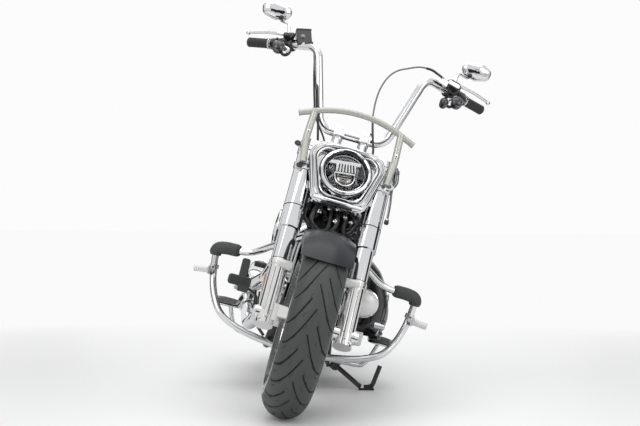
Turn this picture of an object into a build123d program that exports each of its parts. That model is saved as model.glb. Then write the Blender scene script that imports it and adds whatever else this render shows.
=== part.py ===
from build123d import *
import math
import os

os.makedirs("parts", exist_ok=True)

# Cruiser motorcycle.  Millimetres, +Z up, forward is -Y, the rider's left is +X.
# The bike frame is upright, with its origin under the front axle.
# The steering frame has its origin below the lower clamp on the steering axis, +Z up along that axis.

# ---- driving dimensions -------------------------------------------------------------------------
wheelbase = 1665.0
wheel_radius = 325.0
rake = 30.0
trail = 104.0
lean = 14.0                     # lean to the left on the side stand
steer = 3.5                     # the bars as parked, turned to the left
steer_lock = 32.0               # each way from straight ahead
origin_x = 217.0                # middle of the parked bike's outline, from the upright bike's plane
origin_y = 869.0

front_crown = 80.0              # crown radius of the front tyre, also half its width
rear_crown = 140.0
rear_half_width = 116.0
rim_radius = wheel_radius - 94.0
front_axle_radius = 12.5
rear_axle_radius = 12.5
running_gap = 0.05              # radial, at every turning pin

leg_spacing = 278.0             # fork leg to fork leg
leg_forward = 70.0              # fork legs ahead of the steering axis
tube_radius = 24.5
slider_radius = 33.0
slider_top = 206.0
slider_bottom = -42.0
cover_radius = 40.0
cover_bottom = 337.0
lower_clamp = (500.0, 530.0)    # along the steering axis
upper_clamp = (674.0, 700.0)
neck_radius = 36.0
stem_radius = 17.0

bar_radius = 16.0
guard_radius = 16.0
rail_radius = 17.0              # lower frame rails
rail_half_width = 120.0
rail_height = 152.0

# ---- frames -------------------------------------------------------------------------------------
axle_offset = (wheel_radius * math.tan(math.radians(rake)) - trail) * math.cos(math.radians(rake))
steer_origin = (
    0.0,
    axle_offset * math.cos(math.radians(rake)),
    wheel_radius - axle_offset * math.sin(math.radians(rake)),
)
steering_frame = Location(steer_origin) * Rotation(-rake, 0, 0)
steered = steering_frame * Rotation(0, 0, steer)
front_axle = Location((0, -axle_offset, 0)) * Rotation(rake, 0, 0)
rear_axle = Location((0, wheelbase, wheel_radius))


def lowest(wheel_place, crown):
    """Height of the lowest point of a tyre whose centre and axle are given by a location."""
    axle = (Plane(wheel_place).x_dir).Z
    return wheel_place.position.Z - (wheel_radius - crown) * math.sqrt(1 - axle ** 2) - crown


leaned = Rotation(0, lean, 0)
front_low = lowest(leaned * steered * front_axle, front_crown)
rear_low = lowest(leaned * rear_axle, rear_crown)
pitch = math.degrees(math.atan2(front_low - rear_low, wheelbase))
settled = Rotation(pitch, 0, 0) * leaned
ground_drop = lowest(settled * rear_axle, rear_crown)
chassis_place = Location((-origin_x, -origin_y, -ground_drop)) * settled
steering_place = chassis_place * steered
front_wheel_place = steering_place * front_axle
rear_wheel_place = chassis_place * rear_axle
saved = []


def keep(builder, label, place):
    """Put one piece where it stands on the parked bike and save it."""
    piece = builder.part.moved(place)
    piece.label = label
    export_step(piece, f"parts/{label}.step")
    saved.append(piece)


# ---- shapes used by many pieces ------------------------------------------------------------------
def pipe(points, bends, radius, mode=Mode.ADD):
    """A round bar along straight runs joined by arcs."""
    with BuildLine() as run:
        if len(points) > 2:
            FilletPolyline(*points, radius=bends)
        else:
            Line(*points)
    with BuildSketch(Plane(origin=run.line @ 0, z_dir=run.line % 0)) as section:
        Circle(radius)
    sweep(sections=section.sketch, path=run.line, mode=mode)


def bar(start, end, radius, mode=Mode.ADD):
    """A round bar from one point to another."""
    reach = Vector(*end) - Vector(*start)
    with Locations(Plane(origin=start, z_dir=reach).location):
        Cylinder(radius, reach.length, align=(Align.CENTER, Align.CENTER, Align.MIN), mode=mode)


def cone(start, end, start_radius, end_radius, mode=Mode.ADD):
    """A taper from one point to another."""
    reach = Vector(*end) - Vector(*start)
    with Locations(Plane(origin=start, z_dir=reach).location):
        Cone(start_radius, end_radius, reach.length,
             align=(Align.CENTER, Align.CENTER, Align.MIN), mode=mode)


def spun(start, end, rows, mode=Mode.ADD):
    """A turned solid on the line between two points; rows are (distance from the start, radius)."""
    reach = (Vector(*end) - Vector(*start)).normalized()
    across = reach.cross(Vector(1, 0, 0)) if abs(reach.X) < 0.9 else reach.cross(Vector(0, 0, 1))
    across = across.normalized()
    with BuildSketch(Plane(origin=start, x_dir=across, z_dir=across.cross(reach))) as section:
        with BuildLine():
            Polyline(*[(radius, distance) for distance, radius in rows], close=True)
        make_face()
    revolve(section.sketch, axis=Axis(start, tuple(reach)), mode=mode)


def block(low, high, mode=Mode.ADD):
    """A box between two corners."""
    size = [b - a for a, b in zip(low, high)]
    with Locations(low):
        Box(*size, align=(Align.MIN, Align.MIN, Align.MIN), mode=mode)


def body(rows, mode=Mode.ADD):
    """A loft along Y; rows are (y, middle_z, width, height, corner)."""
    sections = []
    for y, middle_z, width, height, corner in rows:
        with BuildSketch(Plane(origin=(0, y, middle_z), x_dir=(1, 0, 0), z_dir=(0, -1, 0))) as section:
            RectangleRounded(width, height, corner)
        sections.append(section.sketch)
    loft(sections=sections, mode=mode)


def ring(rows, mode=Mode.ADD):
    """A turned solid about the X axis; rows are (x, radius) round the profile."""
    with BuildSketch(Plane.XY) as section:
        with BuildLine():
            Polyline(*rows, close=True)
        make_face()
    revolve(section.sketch, axis=Axis.X, mode=mode)


def arch(outer_radius, thickness, crown, half_width, lip_radius, start_angle, sweep_angle):
    """A fender about the X axis: a round crown with side walls, from a start angle above forward."""
    inner_crown = crown - thickness
    inner_half = half_width - thickness
    centre = outer_radius - crown
    edge = centre + math.sqrt(crown ** 2 - half_width ** 2)
    inner_edge = centre + math.sqrt(inner_crown ** 2 - inner_half ** 2)
    with BuildSketch(Plane.XY) as section:
        with BuildLine():
            ThreePointArc((half_width, edge), (0, outer_radius), (-half_width, edge))
            Polyline((-half_width, edge), (-half_width, lip_radius), (-inner_half, lip_radius),
                     (-inner_half, inner_edge))
            ThreePointArc((-inner_half, inner_edge), (0, outer_radius - thickness), (inner_half, inner_edge))
            Polyline((inner_half, inner_edge), (inner_half, lip_radius), (half_width, lip_radius),
                     (half_width, edge))
        make_face()
    turned = Rotation(180 - start_angle, 0, 0) * section.sketch
    revolve(turned, axis=Axis.X, revolution_arc=-sweep_angle)


both = (-1, 1)

# ==== front wheel =================================================================================
def tyre_profile(crown, half_width, bead_half_width, bead_radius):
    """Crown arc, flat flanks and a flat seat on the rim."""
    edge = math.sqrt(crown ** 2 - half_width ** 2)
    shoulder = wheel_radius - crown + edge
    with BuildSketch(Plane.XY) as section:
        with BuildLine():
            ThreePointArc((half_width, shoulder), (0, wheel_radius), (-half_width, shoulder))
            Polyline((-half_width, shoulder), (-half_width, shoulder - 22),
                     (-bead_half_width, bead_radius), (bead_half_width, bead_radius),
                     (half_width, shoulder - 22), (half_width, shoulder))
        make_face()
    revolve(section.sketch, axis=Axis.X)


with BuildPart() as front_tyre:
    tyre_profile(front_crown, 78.0, 58.0, rim_radius)

with BuildPart() as front_rim:
    ring([(-58, rim_radius), (58, rim_radius), (58, 214), (44, 205), (40, 90), (56, 62), (56, 20),
          (-56, 20), (-56, 62), (-40, 90), (-44, 205), (-58, 214)])
    bar((-60, 0, 0), (60, 0, 0), 36)
    bar((-61, 0, 0), (61, 0, 0), front_axle_radius + running_gap, Mode.SUBTRACT)

disc_inner = 60.0
disc_outer = 65.0
with BuildPart() as front_disc:
    ring([(disc_inner, 146), (disc_outer, 146), (disc_outer, 104), (disc_inner, 104)])
    for angle in range(0, 360, 72):
        middle = (0, 80 * math.cos(math.radians(angle)), 80 * math.sin(math.radians(angle)))
        with Locations(Location((disc_inner, middle[1], middle[2])) * Rotation(angle, 0, 0)):
            Box(5, 58, 16, align=(Align.MIN, Align.CENTER, Align.CENTER))
    ring([(60, 60), (65, 60), (65, 37), (60, 37)])

for piece, label in ((front_tyre, "front_tyre"), (front_rim, "front_rim"), (front_disc, "front_brake_disc")):
    keep(piece, label, front_wheel_place)

# ==== rear wheel ==================================================================================
with BuildPart() as rear_tyre:
    tyre_profile(rear_crown, rear_half_width, 106.0, rim_radius)

with BuildPart() as rear_rim:
    ring([(-106, rim_radius), (106, rim_radius), (106, 214), (92, 205), (70, 90), (70, 62), (70, 20),
          (-70, 20), (-70, 62), (-70, 90), (-92, 205), (-106, 214)])
    bar((-80, 0, 0), (80, 0, 0), 36)
    bar((-81, 0, 0), (81, 0, 0), rear_axle_radius + running_gap, Mode.SUBTRACT)

pulley_radius = 96.0
with BuildPart() as rear_pulley:
    ring([(124, pulley_radius), (144, pulley_radius), (144, 37), (124, 37)])
    ring([(80, 60), (124, 60), (124, 37), (80, 37)])

with BuildPart() as rear_disc:
    ring([(-124, 146), (-119, 146), (-119, 36), (-124, 36)])
    ring([(-119, 60), (-80, 60), (-80, 36), (-119, 36)])

for piece, label in ((rear_tyre, "rear_tyre"), (rear_rim, "rear_rim"), (rear_pulley, "rear_pulley"),
                     (rear_disc, "rear_brake_disc")):
    keep(piece, label, rear_wheel_place)

# ==== steering ====================================================================================
half_spacing = leg_spacing / 2
with BuildPart() as fork_tubes:
    for side in both:
        bar((side * half_spacing, -leg_forward, 90), (side * half_spacing, -leg_forward, upper_clamp[1] + 8), tube_radius)

with BuildPart() as fork_sliders:
    for side in both:
        leg = (side * half_spacing, -leg_forward)
        bar((*leg, slider_bottom), (*leg, slider_top), slider_radius)
        bar((*leg, slider_top - 22), (*leg, slider_top), slider_radius + 3)
        bar((side * (half_spacing - slider_radius - 12), -axle_offset, 0),
            (side * (half_spacing + 36), -axle_offset, 0), 24)
    block((-half_spacing + 20, -axle_offset - 24, -25), (-65.5, -axle_offset + 22, 38))
    for side in both:
        leg = (side * half_spacing, -leg_forward)
        bar((*leg, 90), (*leg, slider_top), tube_radius, Mode.SUBTRACT)
    bar((-200, -axle_offset, 0), (200, -axle_offset, 0), front_axle_radius, Mode.SUBTRACT)

with BuildPart() as front_axle_pin:
    bar((-half_spacing - 38, -axle_offset, 0), (half_spacing + 38, -axle_offset, 0), front_axle_radius)

eye_radius = 36.0


def clamps(mode=Mode.ADD):
    """Lower and upper fork clamps; the lower one is hidden inside the covers."""
    for (low, high), eye in ((lower_clamp, eye_radius), (upper_clamp, cover_radius + 2)):
        with BuildSketch(Plane.XY.offset(low)) as outline:
            with Locations((-half_spacing, -leg_forward), (half_spacing, -leg_forward)):
                Circle(eye)
            Circle(neck_radius)
            with BuildLine():
                Polyline((-half_spacing, -leg_forward - eye), (half_spacing, -leg_forward - eye),
                         (half_spacing + 8, -leg_forward + eye - 4), (16, neck_radius - 4),
                         (-16, neck_radius - 4), (-half_spacing - 8, -leg_forward + eye - 4), close=True)
            make_face()
        extrude(outline.sketch, amount=high - low, mode=mode)


with BuildPart() as fork_covers:
    for side in both:
        leg = (side * half_spacing, -leg_forward)
        bar((*leg, slider_top + 4), (*leg, cover_bottom), cover_radius - 6)
        bar((*leg, cover_bottom), (*leg, upper_clamp[0]), cover_radius)
        bar((*leg, slider_top), (*leg, upper_clamp[0]), tube_radius, Mode.SUBTRACT)
    clamps(Mode.SUBTRACT)

with BuildPart() as triple_clamps:
    clamps()
    bar((0, 0, lower_clamp[0]), (0, 0, upper_clamp[1] + 10), stem_radius)
    for side in both:
        leg = (side * half_spacing, -leg_forward)
        bar((*leg, lower_clamp[0] - 1), (*leg, upper_clamp[1] + 1), tube_radius, Mode.SUBTRACT)

# handlebar: middle run, rise, bend, grip
bar_points = [(0, 0, 826), (124, 0, 826), (146, -34, 892), (210, -114, 1096), (391, 32, 1152), (467, 81, 1167)]
right_points = [(-x, y, z) for x, y, z in reversed(bar_points[1:])]
handlebar_path = right_points + bar_points[1:]
bar_bends = [40, 50, 45, 60, 60, 45, 50, 40]
with BuildPart() as handlebar:
    pipe(handlebar_path, bar_bends, bar_radius)
    for side in both:
        bar((side * 50, 0, upper_clamp[1]), (side * 50, 0, 826), 18)
        with Locations((side * 50, 0, 826)):
            Box(38, 52, 46)


def along(start, end, share):
    """A point part of the way from one point to another."""
    return tuple(a + (b - a) * share for a, b in zip(start, end))


def mirrored(point, side):
    """The same point on the chosen side."""
    return (side * point[0], point[1], point[2])


grip_radius = 19.0
grip_outer = along(bar_points[4], bar_points[5], 1.04)
with BuildPart() as grips:
    for side in both:
        inner = mirrored(along(bar_points[4], bar_points[5], 0.02), side)
        bar(inner, mirrored(grip_outer, side), grip_radius)
    pipe(handlebar_path, bar_bends, bar_radius, Mode.SUBTRACT)

control_start = along(bar_points[3], bar_points[4], 0.50)
control_end = along(bar_points[3], bar_points[4], 0.94)
housing_tilt = 17.0


def housings(mode=Mode.ADD):
    """Switch housings round the bars; on the right the brake's reservoir, on the left the clutch's clamp."""
    for side in both:
        bar(mirrored(control_start, side), mirrored(control_end, side), 24, mode)
    with Locations(Location((-271, -62, 1146)) * Rotation(0, -housing_tilt, 0)):
        Box(58, 46, 68, mode=mode)
    with Locations(Location((324, -60, 1133)) * Rotation(0, housing_tilt, 0)):
        Box(64, 34, 26, mode=mode)
    bar((318, -30, 1118), (322, -60, 1133), 14, mode)


with BuildPart() as hand_controls:
    housings()
    pipe(handlebar_path, bar_bends, bar_radius, Mode.SUBTRACT)

lever_inner = (336, -58, 1150)
lever_middle = (402, -26, 1158)
lever_outer = (490, 30, 1170)
with BuildPart() as hand_levers:
    for side in both:
        pipe([mirrored(lever_inner, side), mirrored(lever_middle, side), mirrored(lever_outer, side)], 60, 7)
    bar((-290, -62, 1160), (-336, -58, 1150), 9)
    housings(Mode.SUBTRACT)

level_ahead = (0, -math.cos(math.radians(rake)), -math.sin(math.radians(rake)))
mirror_middles = ((-1, (-402, 10, 1296)), (1, (413, 10, 1284)))
with BuildPart() as mirrors:
    for side, middle in mirror_middles:
        face = Plane(origin=(middle[0], middle[1] + 10, middle[2]), x_dir=(1, 0, 0), z_dir=level_ahead)
        with BuildSketch(face) as head:
            with BuildLine():
                Polyline((-64 * side, 5), (-50 * side, 29), (20 * side, 36), (60 * side, 16), (52 * side, -21),
                         (0, -35), (-48 * side, -24), close=True)
            make_face()
            fillet(head.vertices(), radius=15)
        extrude(head.sketch, amount=20)
        foot = (side * 330, -40, 1136)
        pipe([foot, (side * 346, -10, 1236), (middle[0] - side * 20, middle[1] + 10, middle[2] - 20)], 50, 5.5)
    housings(Mode.SUBTRACT)
    pipe(handlebar_path, bar_bends, bar_radius, Mode.SUBTRACT)

signal_rows = (
    # x, z, radius, joint x
    (-355, 1094, 23, -350),
    (352, 1080, 23, 350),
    (304, 1060, 17, 316),
)
with BuildPart() as front_signals:
    for x, z, radius, joint_x in signal_rows:
        bar((x, -66, z), (x, -24, z), radius)
        bar((x, -40, z), (joint_x, -14, 1136), 7)
    housings(Mode.SUBTRACT)
    pipe(handlebar_path, bar_bends, bar_radius, Mode.SUBTRACT)

# clutch cable on the left, brake hose and wiring on the right, held by the bars down to the clamp
cable_left = [(322, -52, 1150), (222, -8, 1226), (104, 0, 1204), (46, -8, 1080), (62, -31, 930), (92, -36, 690)]
cable_right = [(-262, -60, 1150), (-240, -134, 1128), (-186, -122, 950), (-136, -66, 868), (-106, -44, 690)]
with BuildPart() as control_cables:
    pipe(cable_left, [60, 70, 90, 120], 4)
    pipe(cable_right, [30, 80, 60], 5)
    housings(Mode.SUBTRACT)
    block((-200, -100, 660), (200, 60, upper_clamp[1]), Mode.SUBTRACT)

lamp_radius = 84.0


def shield(forward, depth, growth=0.0, taper=0, mode=Mode.ADD):
    """The lamp housing's outline, wide above and narrow below, growing forward."""
    plane = Plane(origin=(0, -forward, 574), x_dir=(1, 0, 0), z_dir=(0, -1, 0))
    with BuildSketch(plane) as section:
        with BuildLine():
            Polyline((-118 - growth, 112 + growth), (118 + growth, 112 + growth), (142 + growth, 50),
                     (96 + growth, -134 - growth), (-96 - growth, -134 - growth), (-142 - growth, 50),
                     close=True)
        make_face()
        fillet(section.vertices(), radius=38)
    extrude(section.sketch, amount=depth, taper=taper, mode=mode)


with BuildPart() as headlamp_nacelle:
    block((-92, -117, lower_clamp[1] + 9), (92, -43, upper_clamp[0] - 6))
    shield(116, 22)
    shield(138, 14, taper=35)
    shield(132, 40, growth=-22, mode=Mode.SUBTRACT)
    bar((0, -124, 574), (0, -200, 574), lamp_radius, Mode.SUBTRACT)
    spun((0, -116, 574), (0, -200, 574),
         [(0, 0), (0, 100), (36, 92), (48, 92), (48, lamp_radius), (8, lamp_radius), (8, 0)])
    for side in both:
        bar((side * half_spacing, -leg_forward, 400), (side * half_spacing, -leg_forward, 800),
            cover_radius, Mode.SUBTRACT)

with BuildPart() as headlamp_lens:
    spun((0, -124, 574), (0, -200, 574), [(0, 0), (0, lamp_radius), (34, lamp_radius), (42, 60), (45, 0)])

brace_end = (213, -150, 770)
brace_middle = (0, -184, 848)
strap_points = [(162, -158, 786), (166, -125, 690), (154, -121, 590)]


def straps(mode=Mode.ADD):
    """The windscreen's upright straps, one ahead of each fork cover."""
    for side in both:
        pipe([mirrored(point, side) for point in strap_points], 90, 13, mode)


with BuildPart() as screen_brace:
    pipe([(-brace_end[0], brace_end[1], brace_end[2]), brace_middle, brace_end], 420, 11)
    straps()
    for side in both:
        leg = (side * half_spacing, -leg_forward)
        bar((*leg, 400), (*leg, 800), cover_radius, Mode.SUBTRACT)

# docks: two rings and a shelf on each cover, side knobs, and the latch with its hanging rod on the left
with BuildPart() as brace_docks:
    for side in both:
        for height in (600, 662):
            with Locations((side * half_spacing, -leg_forward, height)):
                Cylinder(cover_radius + 4, 14)
        shelf = sorted((side * 116, side * 172))
        block((shelf[0], -113, 572), (shelf[1], -96, 586))
        bar((side * 163, -92, 577), (side * 163, -118, 577), 10)
        bar((side * 126, -92, 588), (side * 126, -114, 588), 9)
        bar((side * 160, -88, 662), (side * 192, -108, 668), 8)
    bar((176, -108, 672), (186, -104, 612), 8)
    bar((186, -104, 612), (174, -100, 590), 8)
    bar((182, -100, 596), (188, -100, 466), 4)
    bar((188, -100, 470), (188, -100, 452), 8)
    for side in both:
        leg = (side * half_spacing, -leg_forward)
        bar((*leg, 400), (*leg, 800), cover_radius, Mode.SUBTRACT)
    straps(Mode.SUBTRACT)

for piece, label in (
    (fork_tubes, "fork_tubes"), (fork_sliders, "fork_sliders"), (front_axle_pin, "front_axle"),
    (fork_covers, "fork_covers"), (triple_clamps, "triple_clamps"), (handlebar, "handlebar"),
    (grips, "grips"), (hand_controls, "hand_controls"), (hand_levers, "hand_levers"),
    (mirrors, "mirrors"), (front_signals, "front_signals"), (control_cables, "control_cables"),
    (headlamp_nacelle, "headlamp_nacelle"), (headlamp_lens, "headlamp_lens"),
    (screen_brace, "screen_brace"), (brace_docks, "brace_docks"),
):
    keep(piece, label, steering_place)

front_fender_radius = wheel_radius + 9.0
front_fender_half = 88.0
fender_front_height = 236.0
with BuildPart() as front_fender:
    arch(front_fender_radius, 3.0, 180.0, front_fender_half, rim_radius + 31, 36.0, 135.0)
    block((-200, -400, -100), (200, 0, fender_front_height), Mode.SUBTRACT)
keep(front_fender, "front_fender", front_wheel_place)

# a bracket each side, from the top of the slider in to the fender's flank
with BuildPart() as fender_brackets:
    for side in both:
        ends = sorted((side * (front_fender_half + 0.05), side * (front_fender_half + 5)))
        block((ends[0], -leg_forward - 34, 156), (ends[1], -leg_forward + 34, 284))
        bar((side * front_fender_half + side * 0.05, -leg_forward, 178), (side * half_spacing, -leg_forward, 178), 18)
    for side in both:
        leg = (side * half_spacing, -leg_forward)
        bar((*leg, 100), (*leg, slider_top + 10), slider_radius + 3, Mode.SUBTRACT)
keep(fender_brackets, "fender_brackets", steering_place)

with BuildPart() as front_caliper:
    block((47.5, 86, 24), (98, 150, 96))
    block((88, 50, 62), (128, 100, 92))
    bar((disc_inner - 5.6, 0, 0), (disc_outer + 5.6, 0, 0), 156, Mode.SUBTRACT)
    bar((half_spacing, -18, -36), (half_spacing, 102, 172), slider_radius + 0.2, Mode.SUBTRACT)
keep(front_caliper, "front_caliper", front_wheel_place)

# ==== chassis =====================================================================================
def on_axis(height, ahead=0.0):
    """A point by its height along the steering axis and distance ahead of it, in the bike frame."""
    lift = math.radians(rake)
    return (
        0.0,
        steer_origin[1] + height * math.sin(lift) - ahead * math.cos(lift),
        steer_origin[2] + height * math.cos(lift) + ahead * math.sin(lift),
    )


neck_low = lower_clamp[1] + 6
neck_high = upper_clamp[0] - 6
post_half_width = 100.0
pivot_y = 1215.0
pivot_z = 330.0
down_tube = [on_axis(575), (50, 520, 600), (rail_half_width, 690, rail_height),
             (rail_half_width, 1170, rail_height), (post_half_width, pivot_y, 340), (post_half_width, 1190, 520)]
backbone = [on_axis(620), (0, 640, 812), (0, 1000, 776), (0, 1110, 600), (0, 1184, 503)]


def frame_tubes(mode=Mode.ADD, growth=0.0):
    """The neck, backbone and both loops under the engine."""
    for side in both:
        pipe([mirrored(p, side) for p in down_tube], [40, 90, 90, 80], rail_radius + growth, mode)
    pipe(backbone, [100, 90, 60], 22 + growth, mode)
    bar(on_axis(neck_low), on_axis(neck_high), neck_radius + growth, mode)
    bar((-post_half_width, 1190, 505), (post_half_width, 1190, 505), 20 + growth, mode)


stand_pivot = (160, 800, 132)
stand_foot = (94.0, -117.0, 0.0)
stand_start = (chassis_place * Location(stand_pivot)).position
stand_out = Vector(*stand_foot) + Vector(-24, 0, 12) - stand_start
stand_back = (chassis_place * Location((20, 155, 10))).position - chassis_place.position
stand_axis = stand_out.cross(stand_back).normalized()
stand_place = Plane(origin=stand_start, z_dir=stand_axis, x_dir=stand_out).location
stand_hub = 11.0
bracket = chassis_place.inverse() * stand_place

with BuildPart() as frame:
    frame_tubes()
    for y in (760, 1120):
        bar((-rail_half_width, y, rail_height), (rail_half_width, y, rail_height), 12)
    with Locations(bracket):
        for low in (stand_hub + 0.3, -stand_hub - 6.3):
            with Locations((-8, 0, low)):
                Box(46, 36, 6, align=(Align.CENTER, Align.CENTER, Align.MIN))
        Cylinder(8, 2 * stand_hub + 10)
    block((rail_half_width + 8, 782, rail_height - 34), (rail_half_width + 18, 818, rail_height + 10))
    with Locations(bracket):
        Cylinder(24, 2 * stand_hub + 0.6, mode=Mode.SUBTRACT)
        Cylinder(8, 2 * stand_hub + 2)
    bar(on_axis(neck_low - 10), on_axis(neck_high + 10), stem_radius + running_gap, Mode.SUBTRACT)
    bar((-200, pivot_y, pivot_z), (200, pivot_y, pivot_z), 12, Mode.SUBTRACT)

crank = (0, 800, 335)
case_points = [(690, 200), (716, 176), (1110, 176), (1150, 330), (1100, 452), (930, 452),
               (870, 430), (730, 430), (690, 400)]


def crankcase_block(half_width, mode=Mode.ADD):
    """The crankcase and gearbox in one, as an outline seen from the side."""
    with BuildSketch(Plane.YZ.offset(-half_width)) as outline:
        with BuildLine():
            Polyline(*case_points, close=True)
        make_face()
    extrude(outline.sketch, amount=2 * half_width, mode=mode)


case_half_width = 92.0
with BuildPart() as crankcase:
    crankcase_block(case_half_width)
    frame_tubes(Mode.SUBTRACT)

cylinder_tilt = 22.5
fin_pitch = 17.0
with BuildPart() as cylinders:
    for tilt in (-cylinder_tilt, cylinder_tilt):
        with BuildSketch(Plane.XZ) as section:
            with BuildLine():
                profile = [(0, 100), (58, 100)]
                for k in range(11):
                    low = 122 + fin_pitch * k
                    profile += [(58, low), (82, low), (82, low + 7), (58, low + 7)]
                profile += [(58, 312), (84, 312), (84, 368), (70, 404), (0, 404)]
                Polyline(*profile, close=True)
            make_face()
        turned = Location(crank) * Rotation(-tilt, 0, 0) * section.sketch
        axis = Axis(crank, (0, math.sin(math.radians(tilt)), math.cos(math.radians(tilt))))
        revolve(turned, axis=axis)
    crankcase_block(case_half_width, Mode.SUBTRACT)
    frame_tubes(Mode.SUBTRACT)

primary_ends = ((868, 388, 148), (1046, 352, 132))    # y, z, radius
primary_inner = case_half_width
primary_outer = 196.0
dome_middle = (930.0, 345.0)
dome_floor = 276.0


def two_circles(ends, offset, inset=0.0):
    """Two circles joined by their outer tangents, as seen from the side; ends are (y, z, radius)."""
    (front_y, front_z, front_r), (back_y, back_z, back_r) = ends
    reach = math.hypot(back_y - front_y, back_z - front_z)
    slope = math.atan2(back_z - front_z, back_y - front_y)
    swing = math.acos((front_r - back_r) / reach)
    corners = []
    for (middle_y, middle_z, radius), way in ((ends[0], 1), (ends[1], 1), (ends[1], -1), (ends[0], -1)):
        angle = slope + way * swing
        tangent_y = middle_y + (radius - inset) * math.cos(angle)
        corners.append((tangent_y, middle_z + (radius - inset) * math.sin(angle)))
    with BuildSketch(Plane.YZ.offset(offset)) as outline:
        for y, z, radius in ends:
            with Locations((y, z)):
                Circle(radius - inset)
        with BuildLine():
            Polyline(*corners, close=True)
        make_face()
    return outline.sketch


def dome(mode=Mode.ADD):
    """The primary's round outer cover, standing far out over the floorboard."""
    rows = [(0, 0), (0, 217), (28, 203), (54, 183), (79, 147), (101, 104), (117, 62), (126, 24), (129, 0)]
    spun((primary_outer, *dome_middle), (400, *dome_middle), rows, mode)


with BuildPart() as primary_cover:
    extrude(two_circles(primary_ends, primary_inner), amount=primary_outer - primary_inner)
    dome()
    block((primary_outer, 600, 60), (400, 1200, dome_floor), Mode.SUBTRACT)
    frame_tubes(Mode.SUBTRACT, 0.5)

# a round bright cover ahead of the primary, on a short bracket
with BuildPart() as horn_cover:
    spun((208, 740, 402), (208, 600, 402), [(0, 0), (0, 20), (22, 20), (22, 50), (40, 50), (52, 34), (58, 0)])
    block((140, 736, 388), (216, 762, 416))
    extrude(two_circles(primary_ends, primary_inner), amount=primary_outer - primary_inner, mode=Mode.SUBTRACT)
    bar((primary_outer, *dome_middle), (300, *dome_middle), 217, Mode.SUBTRACT)

with BuildPart() as cam_cover:
    bar((-case_half_width, 800, 335), (-138, 800, 335), 104)
    bar((-case_half_width, 1050, 320), (-120, 1050, 320), 78)
    frame_tubes(Mode.SUBTRACT, 0.5)

with BuildPart() as pushrod_tubes:
    for low, high in (((-112, 772, 400), (-96, 700, 650)), ((-112, 828, 400), (-96, 900, 650))):
        bar(low, high, 11)
    bar((-90, 800, 335), (-155, 800, 335), 104, Mode.SUBTRACT)
    for tilt in (-cylinder_tilt, cylinder_tilt):
        top = (0, crank[1] + 420 * math.sin(math.radians(tilt)), crank[2] + 420 * math.cos(math.radians(tilt)))
        bar(crank, top, 84, Mode.SUBTRACT)

with BuildPart() as air_cleaner:
    bar((-84, 800, 600), (-120, 800, 600), 36)
    bar((-120, 800, 600), (-200, 800, 600), 88)

pipe_front = [(-70, 640, 640), (-128, 650, 590), (-150, 656, 330), (-206, 760, 208), (-250, 1230, 236)]
pipe_rear = [(-70, 1000, 640), (-140, 1040, 560), (-190, 1090, 400), (-250, 1240, 336)]
muffler_rows = ((1230, 236), (1240, 336))


def exhaust_runs(mode=Mode.ADD):
    """One pipe from each cylinder."""
    pipe(pipe_front, [30, 60, 80], 22, mode)
    pipe(pipe_rear, [40, 70], 22, mode)


with BuildPart() as exhausts:
    exhaust_runs()
    for y, z in muffler_rows:
        spun((-250, y, z), (-262, y + 650, z + 22),
             [(-8, 0), (-8, 25), (64, 44), (650, 44), (650, 37), (560, 37), (560, 0)])
    for tilt in (-cylinder_tilt, cylinder_tilt):
        top = (0, crank[1] + 420 * math.sin(math.radians(tilt)), crank[2] + 420 * math.cos(math.radians(tilt)))
        bar(crank, top, 84, Mode.SUBTRACT)

with BuildPart() as oil_cooler:
    block((-96, 500, 330), (96, 545, 520))
    frame_tubes(Mode.SUBTRACT)

with BuildPart() as oil_tank:
    block((-88, 1048, 470), (88, 1164, 630))
    frame_tubes(Mode.SUBTRACT)

tank_rows = (
    # y, middle_z, width, height, corner
    (474, 866, 96, 84, 36),
    (520, 862, 220, 150, 66),
    (610, 856, 304, 190, 88),
    (740, 848, 326, 186, 88),
    (880, 828, 262, 150, 70),
    (980, 806, 176, 104, 48),
    (1030, 792, 110, 64, 28),
)
with BuildPart() as fuel_tank:
    body(tank_rows)
    frame_tubes(Mode.SUBTRACT, 4)

with BuildPart() as tank_console:
    block((-42, 600, 900), (42, 820, 956))
    body(tank_rows, Mode.SUBTRACT)

seat_rows = (
    (1032, 782, 130, 60, 28),
    (1100, 716, 260, 70, 32),
    (1200, 660, 350, 60, 28),
    (1320, 690, 330, 80, 36),
    (1390, 742, 240, 100, 48),
)
with BuildPart() as rider_seat:
    body(seat_rows)
    frame_tubes(Mode.SUBTRACT, 2)

with BuildPart() as pillion_seat:
    body(((1394, 764, 200, 60, 28), (1500, 764, 220, 60, 28), (1640, 764, 170, 40, 18)))

fender_radius = 360.0
fender_middle = (0, wheelbase + 12, wheel_radius + 42)
tail_y = fender_middle[1] + fender_radius
strut_height = wheel_radius + 275
with BuildPart() as rear_fender:
    arch(fender_radius, 4.0, 190.0, 142.0, 268.0, 52.0, 158.0)

with BuildPart() as fender_struts:
    for side in both:
        pipe([(side * post_half_width, 1200, 505), (side * 156, 1330, 560),
              (side * 156, fender_middle[1] + 23, strut_height)], 120, 12)
    for side in both:
        bar((side * 142, fender_middle[1] + 13, strut_height - 1),
            (side * 158, fender_middle[1] + 13, strut_height - 1), 9)
    frame_tubes(Mode.SUBTRACT)

arm_spread = 173.0
with BuildPart() as swingarm:
    for side in both:
        bar((side * 142, pivot_y, pivot_z), (side * arm_spread, 1300, pivot_z), 18)
        with Locations((side * arm_spread, 1300, pivot_z)):
            Sphere(18)
        bar((side * arm_spread, 1300, pivot_z), (side * arm_spread, wheelbase, wheel_radius), 18)
        bar((side * 124, pivot_y, pivot_z), (side * 158, pivot_y, pivot_z), 26)
        bar((side * 155, wheelbase, wheel_radius), (side * 190, wheelbase, wheel_radius), 32)
    bar((-150, pivot_y, pivot_z), (150, pivot_y, pivot_z), 12)
    bar((-196, wheelbase, wheel_radius), (196, wheelbase, wheel_radius), rear_axle_radius)


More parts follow.
